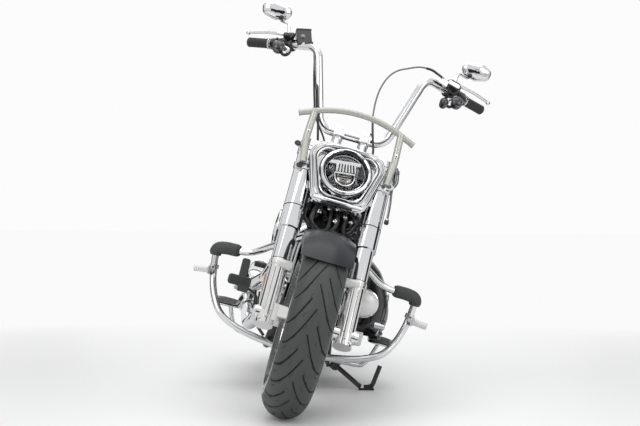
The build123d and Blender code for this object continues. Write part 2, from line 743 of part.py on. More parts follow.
def fender_drum():
    """Everything inside the rear fender's crown, taken away from what sits on it."""
    bar((-200, fender_middle[1], fender_middle[2]), (200, fender_middle[1], fender_middle[2]),
        fender_radius, Mode.SUBTRACT)


with BuildPart() as tail_lamp:
    bar((0, tail_y - 37, wheel_radius + 95), (0, tail_y + 25, wheel_radius + 99), 36)
    fender_drum()

guard_left = [(0, 650, 160), (336, 670, 215), (394, 720, 380), (404, 716, 474), (300, 696, 478),
              (248, 690, 495), (150, 600, 560), (66, 500, 610)]
guard_bends = [80, 90, 40, 50, 40, 50]


def guard_tubes(mode=Mode.ADD):
    """Both loops of the engine guard."""
    for side in both:
        pipe([mirrored(point, side) for point in guard_left], guard_bends, guard_radius, mode)


with BuildPart() as engine_guard:
    guard_tubes()
    block((-30, 640, 140), (30, 740, 170))
    bar((-100, 760, rail_height), (100, 760, rail_height), 12, Mode.SUBTRACT)
    frame_tubes(Mode.SUBTRACT)

with BuildPart() as guard_pads:
    pad_line = [along(guard_left[4], guard_left[3], 0.06), guard_left[3], along(guard_left[3], guard_left[2], 0.45)]
    for side in both:
        pipe([mirrored(point, side) for point in pad_line], guard_bends[2], guard_radius + 5)
    guard_tubes(Mode.SUBTRACT)

with BuildPart() as highway_pegs:
    for side in both:
        bar(mirrored((394, 720, 380), side), mirrored((420, 719, 377), side), 9)
        bar(mirrored((420, 719, 377), side), mirrored((462, 717, 372), side), 13)
        with Locations(mirrored((395, 721, 380), side)):
            Box(44, 44, 26)
    guard_tubes(Mode.SUBTRACT)

with BuildPart() as passenger_pegs:
    for side in both:
        bar(mirrored((post_half_width, 1206, 420), side), mirrored((262, 1190, 420), side), 12)
    frame_tubes(Mode.SUBTRACT)

board_mounts = (735, 880)
with BuildPart() as floorboards:
    for side, y in zip((1, -1), board_mounts):
        with BuildSketch(Plane.XY.offset(255)) as board:
            with Locations((side * 318, 880)):
                RectangleRounded(112, 300, 50)
        extrude(board.sketch, amount=14)
        pipe([(side * 120, y, 152), (side * 262, y, 162), (side * 304, y + 24, 262)], 24, 9)
    frame_tubes(Mode.SUBTRACT)

with BuildPart() as brake_pedal:
    with BuildSketch(Plane(origin=(-280, 650, 372), x_dir=(1, 0, 0), z_dir=(0, -1, 0))) as pad:
        RectangleRounded(94, 44, 14)
        with Locations((20, -22)):
            RectangleRounded(48, 34, 10)
        with Locations((12, 44)):
            RectangleRounded(32, 66, 10)
    extrude(pad.sketch, amount=16)
    pipe([(-268, 652, 356), (-250, 700, 250), (-138, 716, 180)], 30, 8)
    frame_tubes(Mode.SUBTRACT)

with BuildPart() as shifter:
    bar((262, 690, 330), (306, 690, 330), 12)
    pipe([(284, 690, 330), (284, 704, 286), (262, 800, 300)], 12, 8)
    dome(Mode.SUBTRACT)

belt_thickness = 5.0
belt_ends = ((1060, 320, 40), (wheelbase, wheel_radius, pulley_radius + belt_thickness))
with BuildPart() as drive_belt:
    extrude(two_circles(belt_ends, 125), amount=18)
    extrude(two_circles(belt_ends, 120, belt_thickness - 1), amount=40, mode=Mode.SUBTRACT)
    extrude(two_circles(primary_ends, 90), amount=140, mode=Mode.SUBTRACT)

with BuildPart() as number_plate:
    block((-90, tail_y + 13, 260), (90, tail_y + 17, 370))
    block((-20, tail_y - 37, 300), (20, tail_y + 13, 340))
    fender_drum()

with BuildPart() as rear_signals:
    for side in both:
        bar((side * 190, tail_y - 107, 470), (side * 190, tail_y - 57, 470), 24)
        bar((side * 142, tail_y - 87, 470), (side * 190, tail_y - 87, 470), 8)

with BuildPart() as side_stand:
    bar(stand_start, Vector(*stand_foot) + Vector(-24, 0, 12), 9.5)
    with Locations(stand_place):
        Cylinder(18, 2 * stand_hub)
    with Locations(stand_foot):
        Box(60, 46, 9, align=(Align.CENTER, Align.CENTER, Align.MIN))
    pipe([(stand_foot[0] - 10, stand_foot[1], 10), (stand_foot[0] + 22, stand_foot[1], 12),
          (stand_foot[0] + 54, stand_foot[1], 94)], 20, 9)
    with Locations(stand_place):
        Cylinder(8 + running_gap, 60, mode=Mode.SUBTRACT)
    with Locations((stand_foot[0], stand_foot[1], -20)):
        Box(300, 300, 20, align=(Align.CENTER, Align.CENTER, Align.MIN), mode=Mode.SUBTRACT)

for piece, label in (
    (frame, "frame"), (crankcase, "crankcase"), (cylinders, "cylinders"), (primary_cover, "primary_cover"),
    (horn_cover, "horn_cover"), (cam_cover, "cam_cover"), (pushrod_tubes, "pushrod_tubes"), (air_cleaner, "air_cleaner"),
    (exhausts, "exhausts"), (oil_cooler, "oil_cooler"), (oil_tank, "oil_tank"), (fuel_tank, "fuel_tank"), (tank_console, "tank_console"),
    (rider_seat, "rider_seat"), (pillion_seat, "pillion_seat"), (fender_struts, "fender_struts"),
    (swingarm, "swingarm"), (tail_lamp, "tail_lamp"), (engine_guard, "engine_guard"),
    (guard_pads, "guard_pads"), (highway_pegs, "highway_pegs"), (passenger_pegs, "passenger_pegs"),
    (floorboards, "floorboards"),
    (brake_pedal, "brake_pedal"), (shifter, "shifter"), (drive_belt, "drive_belt"),
    (number_plate, "number_plate"), (rear_signals, "rear_signals"),
):
    keep(piece, label, chassis_place)
keep(rear_fender, "rear_fender", chassis_place * Location(fender_middle))
keep(side_stand, "side_stand", Location())

# ==== joint places, for the record ================================================================
outline = Compound(children=saved).bounding_box()
print("outline", tuple(outline.min), tuple(outline.max))
print("steering", tuple(Plane(steering_place).origin), tuple(Plane(steering_place).z_dir))
print("front_wheel", tuple(Plane(front_wheel_place).origin), tuple(Plane(front_wheel_place).x_dir))
print("rear_wheel", tuple(Plane(rear_wheel_place).origin), tuple(Plane(rear_wheel_place).x_dir))
print("side_stand", tuple(stand_start), tuple(stand_axis))
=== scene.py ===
import bpy
import bmesh
import math
import numpy as np
from mathutils.bvhtree import BVHTree
from mathutils import Matrix, Vector


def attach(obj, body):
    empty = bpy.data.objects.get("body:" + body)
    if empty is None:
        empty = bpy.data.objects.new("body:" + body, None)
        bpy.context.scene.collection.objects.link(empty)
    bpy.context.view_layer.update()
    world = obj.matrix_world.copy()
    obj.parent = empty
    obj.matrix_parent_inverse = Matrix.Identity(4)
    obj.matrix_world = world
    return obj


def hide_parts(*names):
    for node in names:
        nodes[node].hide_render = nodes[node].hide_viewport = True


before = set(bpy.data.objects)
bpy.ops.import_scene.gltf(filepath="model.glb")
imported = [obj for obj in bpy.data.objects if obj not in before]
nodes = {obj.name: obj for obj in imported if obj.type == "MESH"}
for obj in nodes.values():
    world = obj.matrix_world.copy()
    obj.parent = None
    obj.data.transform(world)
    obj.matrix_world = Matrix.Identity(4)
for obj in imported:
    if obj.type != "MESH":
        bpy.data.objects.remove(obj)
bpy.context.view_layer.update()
rad = math.radians

# ---- frames, as in the part; pieces are written in millimetres in them --------------------------
WHEELBASE, RADIUS = 1.665, 0.325
RAKE, TRAIL, LEAN, STEER = 30.0, 0.104, 14.0, 3.5
OFFSET = (RADIUS * math.tan(rad(RAKE)) - TRAIL) * math.cos(rad(RAKE))
CROWN_F, CROWN_R = 0.080, 0.140


def rx(a): return Matrix.Rotation(rad(a), 4, "X")
def ry(a): return Matrix.Rotation(rad(a), 4, "Y")
def rz(a): return Matrix.Rotation(rad(a), 4, "Z")
def tr(*v): return Matrix.Translation(Vector(v if len(v) == 3 else v[0]))


def lowest(m, crown):
    a = m.col[0][2]
    return m.translation.z - (RADIUS - crown) * math.sqrt(1 - a * a) - crown


TURNED = tr(0, OFFSET * math.cos(rad(RAKE)), RADIUS - OFFSET * math.sin(rad(RAKE))) @ rx(-RAKE) @ rz(STEER)
AXLE_F = tr(0, -OFFSET, 0) @ rx(RAKE)
AXLE_R = tr(0, WHEELBASE, RADIUS)
NOSE, TAIL = lowest(ry(LEAN) @ TURNED @ AXLE_F, CROWN_F), lowest(ry(LEAN) @ AXLE_R, CROWN_R)
PITCH = math.degrees(math.atan2(NOSE - TAIL, WHEELBASE))
SETTLED = rx(PITCH) @ ry(LEAN)
BIKE = tr(-0.217, -0.869, -lowest(SETTLED @ AXLE_R, CROWN_R)) @ SETTLED
STEERING = BIKE @ TURNED
WHEEL_F = STEERING @ AXLE_F
WHEEL_R = BIKE @ AXLE_R
MM = Matrix.Scale(0.001, 4)
C, S, WF, WR = "chassis", "steering", "front_wheel", "rear_wheel"
PLACE = {C: BIKE @ MM, S: STEERING @ MM, WF: WHEEL_F @ MM, WR: WHEEL_R @ MM, "side_stand": MM}

# ---- camera -------------------------------------------------------------------------------------
SENSOR = 36                                     # mm
FOCAL = 1431.0 / 640                            # focal length over the picture's width
cam_data = bpy.data.cameras.new("camera")
cam = bpy.data.objects.new("camera", cam_data)
bpy.context.collection.objects.link(cam)
turn = rz(0.42) @ rx(-0.40) @ ry(-0.37)
cam.matrix_world = tr(-0.05045, -5.72634, 0.73089) @ turn @ rx(90)
cam_data.sensor_width = SENSOR
cam_data.lens = FOCAL * SENSOR
cam_data.clip_end = 60
bpy.context.scene.camera = cam


# ---- materials ----------------------------------------------------------------------------------
def shader_node(tree, kind, **values):
    """A shader node with its sockets' values set."""
    made = tree.nodes.new("ShaderNode" + kind)
    for socket, value in values.items():
        made.inputs[socket.replace("_", " ")].default_value = value
    return made


def material(name, color, metal=0.0, rough=0.5, coat=0.0, bump=0.0, scale=60.0, vary=0.0, rough_vary=0.0,
        sheen=0.0, grain="noise", clear=0.0, ior=1.45):
    """A procedural finish: a fine pattern varies its colour, roughness and relief."""
    m = bpy.data.materials.new(name)
    m.use_nodes = True
    nt = m.node_tree
    b = nt.nodes["Principled BSDF"]
    for socket, value in (("Base Color", (*color, 1)), ("Metallic", metal), ("Roughness", rough),
            ("Coat Weight", coat), ("Coat Roughness", 0.04), ("Transmission Weight", clear),
            ("Sheen Weight", sheen), ("IOR", ior)):
        b.inputs[socket].default_value = value
    wire = nt.links.new
    if grain == "cells":
        pattern = shader_node(nt, "TexVoronoi", Scale=scale)
        height = pattern.outputs["Distance"]
    else:
        pattern = shader_node(nt, "TexNoise", Scale=scale, Detail=4.0)
        height = pattern.outputs["Fac"]
    wire(shader_node(nt, "TexCoord").outputs["Object"], pattern.inputs["Vector"])
    if vary:
        mix = nt.nodes.new("ShaderNodeMix")
        mix.data_type = "RGBA"
        mix.inputs["A"].default_value = (*[c * (1 - vary) for c in color], 1)
        mix.inputs["B"].default_value = (*[min(1, c * (1 + vary)) for c in color], 1)
        wire(height, mix.inputs["Factor"])
        wire(mix.outputs["Result"], b.inputs["Base Color"])
    ramp = shader_node(nt, "MapRange", To_Min=max(0.0, rough - rough_vary),
        To_Max=min(1.0, rough + rough_vary))
    wire(height, ramp.inputs["Value"])
    wire(ramp.outputs["Result"], b.inputs["Roughness"])
    if bump:
        relief = shader_node(nt, "Bump", Strength=bump, Distance=0.001)
        wire(height, relief.inputs["Height"])
        wire(relief.outputs["Normal"], b.inputs["Normal"])
    return m


CHROME = material("chrome", (0.76, 0.76, 0.77), 1.0, 0.07, rough_vary=0.02, scale=9)
SATIN_CHROME = material("satin_chrome", (0.70, 0.70, 0.71), 1.0, 0.20, rough_vary=0.06, scale=30)
DARK_CHROME = material("dark_chrome", (0.16, 0.165, 0.175), 1.0, 0.14, rough_vary=0.04, scale=30)
ALUMINIUM = material("cast_aluminium", (0.78, 0.78, 0.77), 1.0, 0.24, bump=0.02, scale=120, rough_vary=0.08)
CREAM = material("cream_metal", (0.50, 0.50, 0.46), 0.35, 0.32, bump=0.05, scale=200, rough_vary=0.06,
    vary=0.04)
STEEL = material("ground_steel", (0.66, 0.66, 0.67), 1.0, 0.24, bump=0.1, scale=90, rough_vary=0.1)
BLACK = material("satin_black", (0.020, 0.020, 0.021), 0.0, 0.30, coat=0.25, bump=0.08, scale=240,
    rough_vary=0.08)
WRINKLE = material("wrinkle_black", (0.024, 0.024, 0.025), 0.0, 0.45, bump=0.5, scale=420, rough_vary=0.1)
PAINT = material("blue_black_paint", (0.010, 0.012, 0.016), 0.0, 0.30, coat=0.08, scale=30, vary=0.1,
    rough_vary=0.03, ior=1.36)
TYRE = material("tyre_rubber", (0.058, 0.060, 0.060), 0.0, 0.55, bump=0.25, scale=320, vary=0.22,
    rough_vary=0.08)
RUBBER = material("rubber", (0.030, 0.030, 0.031), 0.0, 0.48, bump=0.3, scale=300, vary=0.2, rough_vary=0.1)
PAD = material("pad_rubber", (0.058, 0.062, 0.060), 0.0, 0.55, bump=0.45, scale=420, vary=0.2,
    rough_vary=0.08)
LEATHER = material("leather", (0.024, 0.023, 0.022), 0.0, 0.42, bump=0.6, scale=330, vary=0.25,
    rough_vary=0.1, grain="cells", sheen=0.15)
GLASS = material("lamp_glass", (0.97, 0.98, 0.98), 0.0, 0.01, scale=40, rough_vary=0.005, clear=1.0, ior=1.12)
SIDEWALL = material("tyre_sidewall", (0.040, 0.041, 0.042), 0.0, 0.24, coat=0.8, bump=0.08, scale=200,
    vary=0.1)
# painted shade: the tread grooves get a darker rubber than the tread, for the shade inside them
GROOVE_SHADE = material("tyre_groove_painted_shade", (0.010, 0.010, 0.011), 0.0, 0.75, bump=0.1, scale=200, vary=0.1)
POLISHED = material("polished_alloy", (0.76, 0.76, 0.75), 1.0, 0.13, bump=0.01, scale=90, rough_vary=0.05)
GLOSS_BLACK = material("gloss_black", (0.006, 0.006, 0.007), 0.0, 0.24, coat=0.1, rough_vary=0.03, scale=40,
    ior=1.33)
CABLE = material("steel_cable", (0.16, 0.16, 0.16), 0.6, 0.4, bump=0.2, scale=300, rough_vary=0.08)
BOWL = material("lamp_bowl", (0.30, 0.28, 0.26), 1.0, 0.20, rough_vary=0.04, scale=30)
REFLECTOR = material("lamp_reflector", (0.20, 0.205, 0.215), 1.0, 0.22, rough_vary=0.04, scale=30)
RED = material("red_lens", (0.35, 0.012, 0.012), 0.0, 0.12, coat=0.6, scale=120, vary=0.1)
AMBER = material("amber_lens", (0.62, 0.33, 0.16), 0.0, 0.22, coat=0.5, scale=160, vary=0.12)
SMOKE = material("smoked_lens", (0.035, 0.034, 0.034), 0.0, 0.16, coat=0.6, scale=120, vary=0.1)
MIRROR = material("mirror_glass", (0.72, 0.73, 0.75), 1.0, 0.02, scale=10, rough_vary=0.01)
WHITE = material("white_plastic", (0.80, 0.80, 0.79), 0.0, 0.30, coat=0.2, scale=90, vary=0.03)
DIAL = material("dial_face", (0.05, 0.05, 0.05), 0.0, 0.35, coat=0.5, scale=200, vary=0.1)
PLATE = material("bare_plate", (0.72, 0.72, 0.70), 0.3, 0.4, bump=0.05, scale=80)
PALE = material("pale_metal", (0.86, 0.86, 0.85), 0.15, 0.32, scale=120, rough_vary=0.05, bump=0.06)

finish = {
    CHROME: "fork_covers fork_tubes handlebar mirrors headlamp_nacelle engine_guard exhausts horn_cover "
            "cam_cover pushrod_tubes air_cleaner tank_console fender_struts front_axle hand_levers",
    POLISHED: "fork_sliders",
    ALUMINIUM: "front_rim rear_rim rear_pulley shifter front_caliper swingarm",
    CREAM: "screen_brace", SATIN_CHROME: "brace_docks triple_clamps fender_brackets",
    STEEL: "front_brake_disc rear_brake_disc",
    BLACK: "frame hand_controls oil_cooler oil_tank side_stand primary_cover",
    WRINKLE: "crankcase cylinders", PAINT: "front_fender rear_fender fuel_tank",
    TYRE: "front_tyre rear_tyre", PAD: "guard_pads",
    RUBBER: "grips floorboards brake_pedal drive_belt control_cables passenger_pegs",
    PALE: "highway_pegs",
    LEATHER: "rider_seat pillion_seat", GLASS: "headlamp_lens", RED: "tail_lamp",
    SMOKE: "front_signals rear_signals", PLATE: "number_plate",
}
for m, names in finish.items():
    for n in names.split():
        if n in nodes:
            nodes[n].data.materials.clear()
            nodes[n].data.materials.append(m)
            for p in nodes[n].data.polygons:
                p.material_index = 0


# ---- mesh helpers: points in millimetres in the frame of the body they ride on -------------------
def link(obj):
    bpy.context.collection.objects.link(obj)
    return obj


def skin(rings, n, closed=False):
    """Faces that join rings of n points in turn."""
    faces = []
    for i in range(rings if closed else rings - 1):
        a, b = i * n, (i + 1) % rings * n
        faces += [(a + k, a + (k + 1) % n, b + (k + 1) % n, b + k) for k in range(n)]
    return faces


def ends(rings, n):
    """The faces that close the first and the last ring."""
    return [tuple(reversed(range(n))), tuple(range((rings - 1) * n, rings * n))]


def polar(radius, angle):
    return radius * math.cos(angle), radius * math.sin(angle)


def once(side, node_name):
    """Of a pair of pieces, the first one replaces the node."""
    return (node_name,) if side < 0 else ()


def piece(name, verts, faces, mat, body, m=None, bevel=0.0, sub=0, sharp=38, hides=()):
    """A mesh piece; m is an optional local frame inside the body's frame."""
    full = PLACE[body] @ m if m is not None else PLACE[body]
    me = bpy.data.meshes.new(name)
    me.from_pydata([full @ Vector(v) for v in verts], [], faces)
    bm = bmesh.new()
    bm.from_mesh(me)
    bmesh.ops.remove_doubles(bm, verts=bm.verts, dist=1e-6)
    bmesh.ops.recalc_face_normals(bm, faces=bm.faces)
    bm.to_mesh(me)
    bm.free()
    me.materials.append(mat)
    me.shade_smooth()
    o = link(bpy.data.objects.new(name, me))
    if bevel:
        b = o.modifiers.new("bevel", "BEVEL")
        b.width = bevel * 0.001
        b.segments = 2
        b.limit_method = "ANGLE"
        b.angle_limit = rad(35)
        b.harden_normals = True
    elif not sub:
        me.set_sharp_from_angle(angle=rad(sharp))
    if sub:
        s = o.modifiers.new("sub", "SUBSURF")
        s.levels = s.render_levels = sub
    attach(o, body)
    if hides:
        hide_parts(*hides)
    return o


def facing(start, end):
    """A local frame at start whose Z points at end."""
    z = (Vector(end) - Vector(start)).normalized()
    u = Vector((0, 0, 1))
    if abs(z.dot(u)) > 0.95:
        u = Vector((0, 1, 0))
    x = u.cross(z).normalized()
    y = z.cross(x)
    return Matrix(((x.x, y.x, z.x, start[0]), (x.y, y.y, z.y, start[1]), (x.z, y.z, z.z, start[2]),
        (0, 0, 0, 1)))


def lathe(name, rows, m, mat, body, seg=48, squeeze=(1, 1), hoop=False, **kw):
    """A turned shape on the local Z axis; rows are (height, radius). A hoop has an open middle."""
    verts = []
    for h, r in rows:
        for k in range(seg):
            a = 2 * math.pi * k / seg
            verts.append((r * math.cos(a) * squeeze[0], r * math.sin(a) * squeeze[1], h))
    faces = skin(len(rows), seg, hoop) + ([] if hoop else ends(len(rows), seg))
    return piece(name, verts, faces, mat, body, m, **kw)


def spline(a, b, c, d, t):
    """The curve through b and c, a share t of the way on."""
    return 0.5 * (2 * b + (c - a) * t + (2 * a - 5 * b + 4 * c - d) * t * t
                  + (3 * b - a - 3 * c + d) * t ** 3)


def smooth_run(points, steps):
    """A rounded run through points."""
    p = [Vector(q) for q in points]
    p = [p[0] * 2 - p[1]] + p + [p[-1] * 2 - p[-2]]
    out = []
    for i in range(1, len(p) - 2):
        out += [spline(*p[i - 1:i + 3], k / steps) for k in range(steps)]
    return out + [p[-2]]


def tube(name, points, radius, mat, body, m=None, seg=14, steps=8, flat=1.0, taper=None, **kw):
    """A round or flattened bar along a smooth run; taper gives the radius at each share of the run."""
    run = smooth_run(points, steps)
    verts = []
    side = None
    for i, q in enumerate(run):
        ahead = (run[min(i + 1, len(run) - 1)] - run[max(i - 1, 0)]).normalized()
        if side is None:
            side = ahead.cross(Vector((0, 0, 1)) if abs(ahead.z) < 0.9 else Vector((0, 1, 0))).normalized()
        side = (side - ahead * side.dot(ahead)).normalized()
        up = ahead.cross(side)
        r = radius * (taper(i / (len(run) - 1)) if taper else 1)
        for k in range(seg):
            a = 2 * math.pi * k / seg
            verts.append(q + side * (r * math.cos(a)) + up * (r * flat * math.sin(a)))
    return piece(name, verts, skin(len(run), seg) + ends(len(run), seg), mat, body, m, **kw)


def slab(name, outline, depth, m, mat, body, bevel=1.5, **kw):
    """An outline in the local XY plane, thickened along Z."""
    n = len(outline)
    verts = [(x, y, 0) for x, y in outline] + [(x, y, depth) for x, y in outline]
    return piece(name, verts, ends(2, n) + skin(2, n), mat, body, m, bevel=bevel, **kw)


def rounded(width, height, corner, steps=6, middle=(0, 0)):
    """The outline of a rounded rectangle."""
    out = []
    for cx, cy, start in ((1, 1, 0), (-1, 1, 90), (-1, -1, 180), (1, -1, 270)):
        for k in range(steps + 1):
            a = rad(start + 90 * k / steps)
            out.append((middle[0] + cx * (width / 2 - corner) + corner * math.cos(a),
                middle[1] + cy * (height / 2 - corner) + corner * math.sin(a)))
    return out


AHEAD, LEFT, UP = (0, -1, 0), (1, 0, 0), (0, 0, 1)


def studs(name, points, way, radius, height, mat, body, m=None, sides=6):
    """Bolt heads on washers, all pointing one way, or outward where way is None."""
    verts, faces = [], []
    for at in points:
        f = facing(at, Vector(at) + Vector(way or (math.copysign(1, at[0]), 0, 0)))
        rows = ((0, radius * 1.35, 16), (height * 0.25, radius * 1.35, 16), (height * 0.25, radius, sides),
            (height * 0.85, radius, sides), (height, radius * 0.8, sides))
        first = len(verts)
        for h, r, _ in rows[:2]:
            verts += [f @ Vector((*polar(r, k * math.pi / 8), h)) for k in range(16)]
        faces += [tuple(first + q for q in face) for face in (*skin(2, 16), range(16, 32))]
        base = len(verts)
        for h, r, _ in rows[2:]:
            verts += [f @ Vector((*polar(r, 2 * math.pi * k / sides), h)) for k in range(sides)]
        faces += [tuple(base + q for q in face) for face in (*skin(3, sides), range(2 * sides, 3 * sides))]
    return piece(name, verts, faces, mat, body, m, sharp=25)


def both_sides(build):
    for side, word in ((-1, "right"), (1, "left")):
        build(side, word)


# ---- tyres with tread ---------------------------------------------------------------------------
def treaded(name, crown, half, bead, pitches, body, node, around, across):
    """A tyre whose grooves sweep from the middle out to the shoulders, with short sipes between."""
    centre = 325 - crown
    edge = centre + math.sqrt(crown ** 2 - half ** 2)
    top = math.asin(half / crown)
    xs = [crown * math.sin(top * (2 * k / across - 1)) for k in range(across + 1)]
    profile = [(x, centre + math.sqrt(crown ** 2 - x ** 2)) for x in xs]
    wall = [(half + 1.2, edge - 6), (half + 1.4, edge - 12), (half - 0.5, edge - 18), (half - 5, edge - 24),
        (bead + 4, 233), (bead, 231)]
    profile = [(-x, r) for x, r in reversed(wall)] + profile + wall
    prof = np.array(profile)
    angle = np.arange(around) * 2 * math.pi / around
    s = np.repeat(angle * 325, len(prof))
    x = np.tile(prof[:, 0], around)
    r = np.tile(prof[:, 1], around)
    pitch = 2 * math.pi * 325 / pitches
    depth = np.zeros(len(x))
    lines = []
    u = np.linspace(0, 1, 40)
    share = half / 78
    for x0, x1, s0, run in ((-4, 70, 0, 139), (20, 76, -33, 99)):
        lines.append((s0 + run * (1 - (1 - u) ** 1.25), (x0 + (x1 - x0) * u) * share, 2.3, 5.0))
    for start, x0 in ((0.10, 26), (0.34, 12), (0.60, 40), (0.84, 58), (0.22, 52), (0.48, 64), (0.72, 20),
            (0.96, 36)):
        v = np.linspace(0, 1, 5)
        lines.append((start * pitch + 14 * v, (x0 + 7 * v) * share, 1.5, 3.0))
    for way in (1, -1):
        xx = x * way
        near = xx > -12
        sm = np.mod(s + (0 if way > 0 else 0.5 * pitch), pitch)
        for ls, lx, wide, deep in lines:
            best = np.full(len(x), 1e9)
            for off in (-1, 0, 1):
                for a, b in zip(ls, lx):
                    best[near] = np.minimum(best[near], (sm[near] + off * pitch - a) ** 2
                        + (xx[near] - b) ** 2)
            t = np.clip((wide - np.sqrt(best)) / 1.2 + 0.5, 0, 1)
            depth = np.maximum(depth, deep * t * t * (3 - 2 * t))
    depth[np.abs(x) > half] = 0
    rr = r - depth
    a = s / 325
    verts = np.stack([x, rr * -np.cos(a), rr * np.sin(a) * -1], axis=1)
    n = len(prof)
    faces = []
    for i in range(around):
        j = (i + 1) % around
        for k in range(n - 1):
            faces.append((i * n + k, i * n + k + 1, j * n + k + 1, j * n + k))
        faces.append((i * n + n - 1, i * n, j * n, j * n + n - 1))
    full = PLACE[body]
    me = bpy.data.meshes.new(name)
    m3 = np.array(full)[:3, :3]
    pts = verts @ m3.T + np.array(full.translation)
    me.from_pydata(pts.tolist(), [], faces)
    for m in (TYRE, SIDEWALL, GROOVE_SHADE):
        me.materials.append(m)
    cut = depth.reshape(around, n)
    # kind 1 is the sidewall, kind 2 the darker groove rubber: painted shade in the grooves
    kind = []
    for i in range(around):
        for k in range(n):
            if k < len(wall) or k >= n - len(wall) - 1:
                kind.append(1)
            else:
                kind.append(2 if cut[i, k] + cut[i, k + 1] > 5.0 else 0)
    me.polygons.foreach_set("material_index", kind)
    me.shade_smooth()
    me.set_sharp_from_angle(angle=rad(60))
    o = link(bpy.data.objects.new(name, me))
    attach(o, body)
    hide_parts(node)
    return o


treaded("front_tyre_treaded", 80, 78, 58, 12, WF, "front_tyre", 1000, 78)
treaded("rear_tyre_treaded", 140, 116, 106, 12, WR, "rear_tyre", 800, 88)

# ---- headlamp -----------------------------------------------------------------------------------
LAMP = facing((0, -124, 574), (0, -400, 574))          # local Z points forward, Y up along the steering axis
lathe("lamp_dome", [(35, 78), (38, 77), (42, 66), (45, 40), (46.5, 14), (46.8, 0.5)], LAMP, GLASS, S, seg=72,
    hides=("headlamp_lens",))
lathe("lamp_back", [(0.4, 83.5), (28, 83.5), (33, 83.5), (33, 80), (24, 77), (12, 66), (4, 50), (2, 0.5)],
    LAMP, REFLECTOR, S, seg=72)
lathe("lamp_rim", [(37, 81), (45, 82), (47, 86), (46, 90), (40, 94), (30, 96), (18, 97), (18, 81)], LAMP,
    CHROME, S, seg=96, hoop=True)
lathe("lamp_gasket", [(30, 81.5), (42, 81.5), (43, 79), (40, 76.5), (30, 76.5)], LAMP, RUBBER, S, seg=72,
    hoop=True)
lathe("lamp_outer_line", [(38, 96.5), (41, 96), (41, 93), (37, 94.5)], LAMP, BLACK, S, seg=96, hoop=True)
lathe("lamp_inner_ring", [(20, 75), (30, 74), (31, 71), (29, 69), (20, 69)], LAMP, SATIN_CHROME, S, seg=96,
    hoop=True)
CORE = LAMP @ rz(8)
lathe("lamp_projector", [(4, 34), (14, 33), (21, 29), (25, 21), (27, 9), (27.4, 0.5)], CORE @ tr(0, -14, 0),
    BOWL, S, seg=40, squeeze=(1, 0.95))
tube("lamp_projector_rim", [(-35, 2, 22), (-35, -16, 23), (-28, -34, 24), (-13, -46, 25), (0, -49, 25),
    (13, -46, 25), (28, -34, 24), (35, -16, 23), (35, 2, 22)], 2.6, CHROME, S, CORE, seg=10)
slab("lamp_projector_plate", rounded(72, 32, 4, 4, (2, 20)), 24, CORE @ tr(0, 0, 6), CHROME, S, bevel=2)
for k in range(6):
    x = -25 + 10 * k
    slab(f"lamp_rib_{k}", [(x * 1.12, 1), (x * 1.12 + 5.2, 1), (x + 4.6, 34), (x, 34)], 3,
        CORE @ tr(0, 0, 30.5), BLACK, S, bevel=0.4)
slab("lamp_shelf", rounded(116, 16, 4, 4, (-4, 42)), 24, CORE @ tr(0, 0, 4), CHROME, S, bevel=2)
slab("lamp_lip", rounded(72, 6, 2.6, 4, (0, -4)), 7, CORE @ tr(0, 0, 27), CHROME, S, bevel=1)
for k, z in enumerate((-14, -23, -32)):
    tube(f"lamp_bowl_line_{k}", [(-30 + 4 * k, z, 22 - 4 * k), (-12, z - 2, 28 - 3 * k),
        (12, z - 2, 28 - 3 * k), (30 - 4 * k, z, 22 - 4 * k)], 1.5, BLACK, S, CORE, seg=8)
slab("lamp_pod_left", rounded(24, 52, 7, 4, (58, 18)), 18, LAMP @ tr(0, 0, 8), BLACK, S, bevel=3)
slab("lamp_pod_right", rounded(26, 16, 6, 4, (-56, -2)), 16, LAMP @ tr(0, 0, 8), BLACK, S, bevel=3)
slab("lamp_shade_lower", rounded(86, 16, 7, 4, (-2, -60)), 12, LAMP @ tr(0, 0, 8), BLACK, S, bevel=3)


# ---- nacelle lips -------------------------------------------------------------------------------
def rounded_corners(points, radius, steps=6):
    """A closed outline whose corners are arcs."""
    out = []
    n = len(points)
    for i, p in enumerate(points):
        p, a, b = Vector(p), Vector(points[i - 1]), Vector(points[(i + 1) % n])
        d1, d2 = (a - p).normalized(), (b - p).normalized()
        half = d1.angle(d2) / 2
        cut = min(radius / math.tan(half), (a - p).length * 0.48, (b - p).length * 0.48)
        centre = p + (d1 + d2).normalized() * (cut / math.cos(half))
        start, end = p + d1 * cut - centre, p + d2 * cut - centre
        for k in range(steps + 1):
            arm = start.slerp(end, k / steps)
            out.append(tuple(centre + arm * (start.length / max(1e-9, arm.length))))
    return out


def nacelle_line(g, y):
    """Points round the nacelle's outline grown by g, at a distance ahead."""
    raw = [(-118 - g, 112 + g), (118 + g, 112 + g), (142 + g, 50), (96 + g, -134 - g), (-96 - g, -134 - g),
        (-142 - g, 50)]
    return [(u, -y, 574 + w) for u, w in rounded_corners(raw, 52 + g * 0.3)]


def closed_tube(name, points, radius, mat, body, seg=10, flat=1.0, m=None):
    """A rounded bar round a closed run."""
    run = [Vector(q) for q in points]
    verts = []
    for i, q in enumerate(run):
        ahead = (run[(i + 1) % len(run)] - run[i - 1]).normalized()
        side = ahead.cross(Vector((0, 1, 0))).normalized()
        up = ahead.cross(side)
        for k in range(seg):
            a = 2 * math.pi * k / seg
            verts.append(q + side * (radius * math.cos(a)) + up * (radius * flat * math.sin(a)))
    return piece(name, verts, skin(len(run), seg, closed=True), mat, body, m)


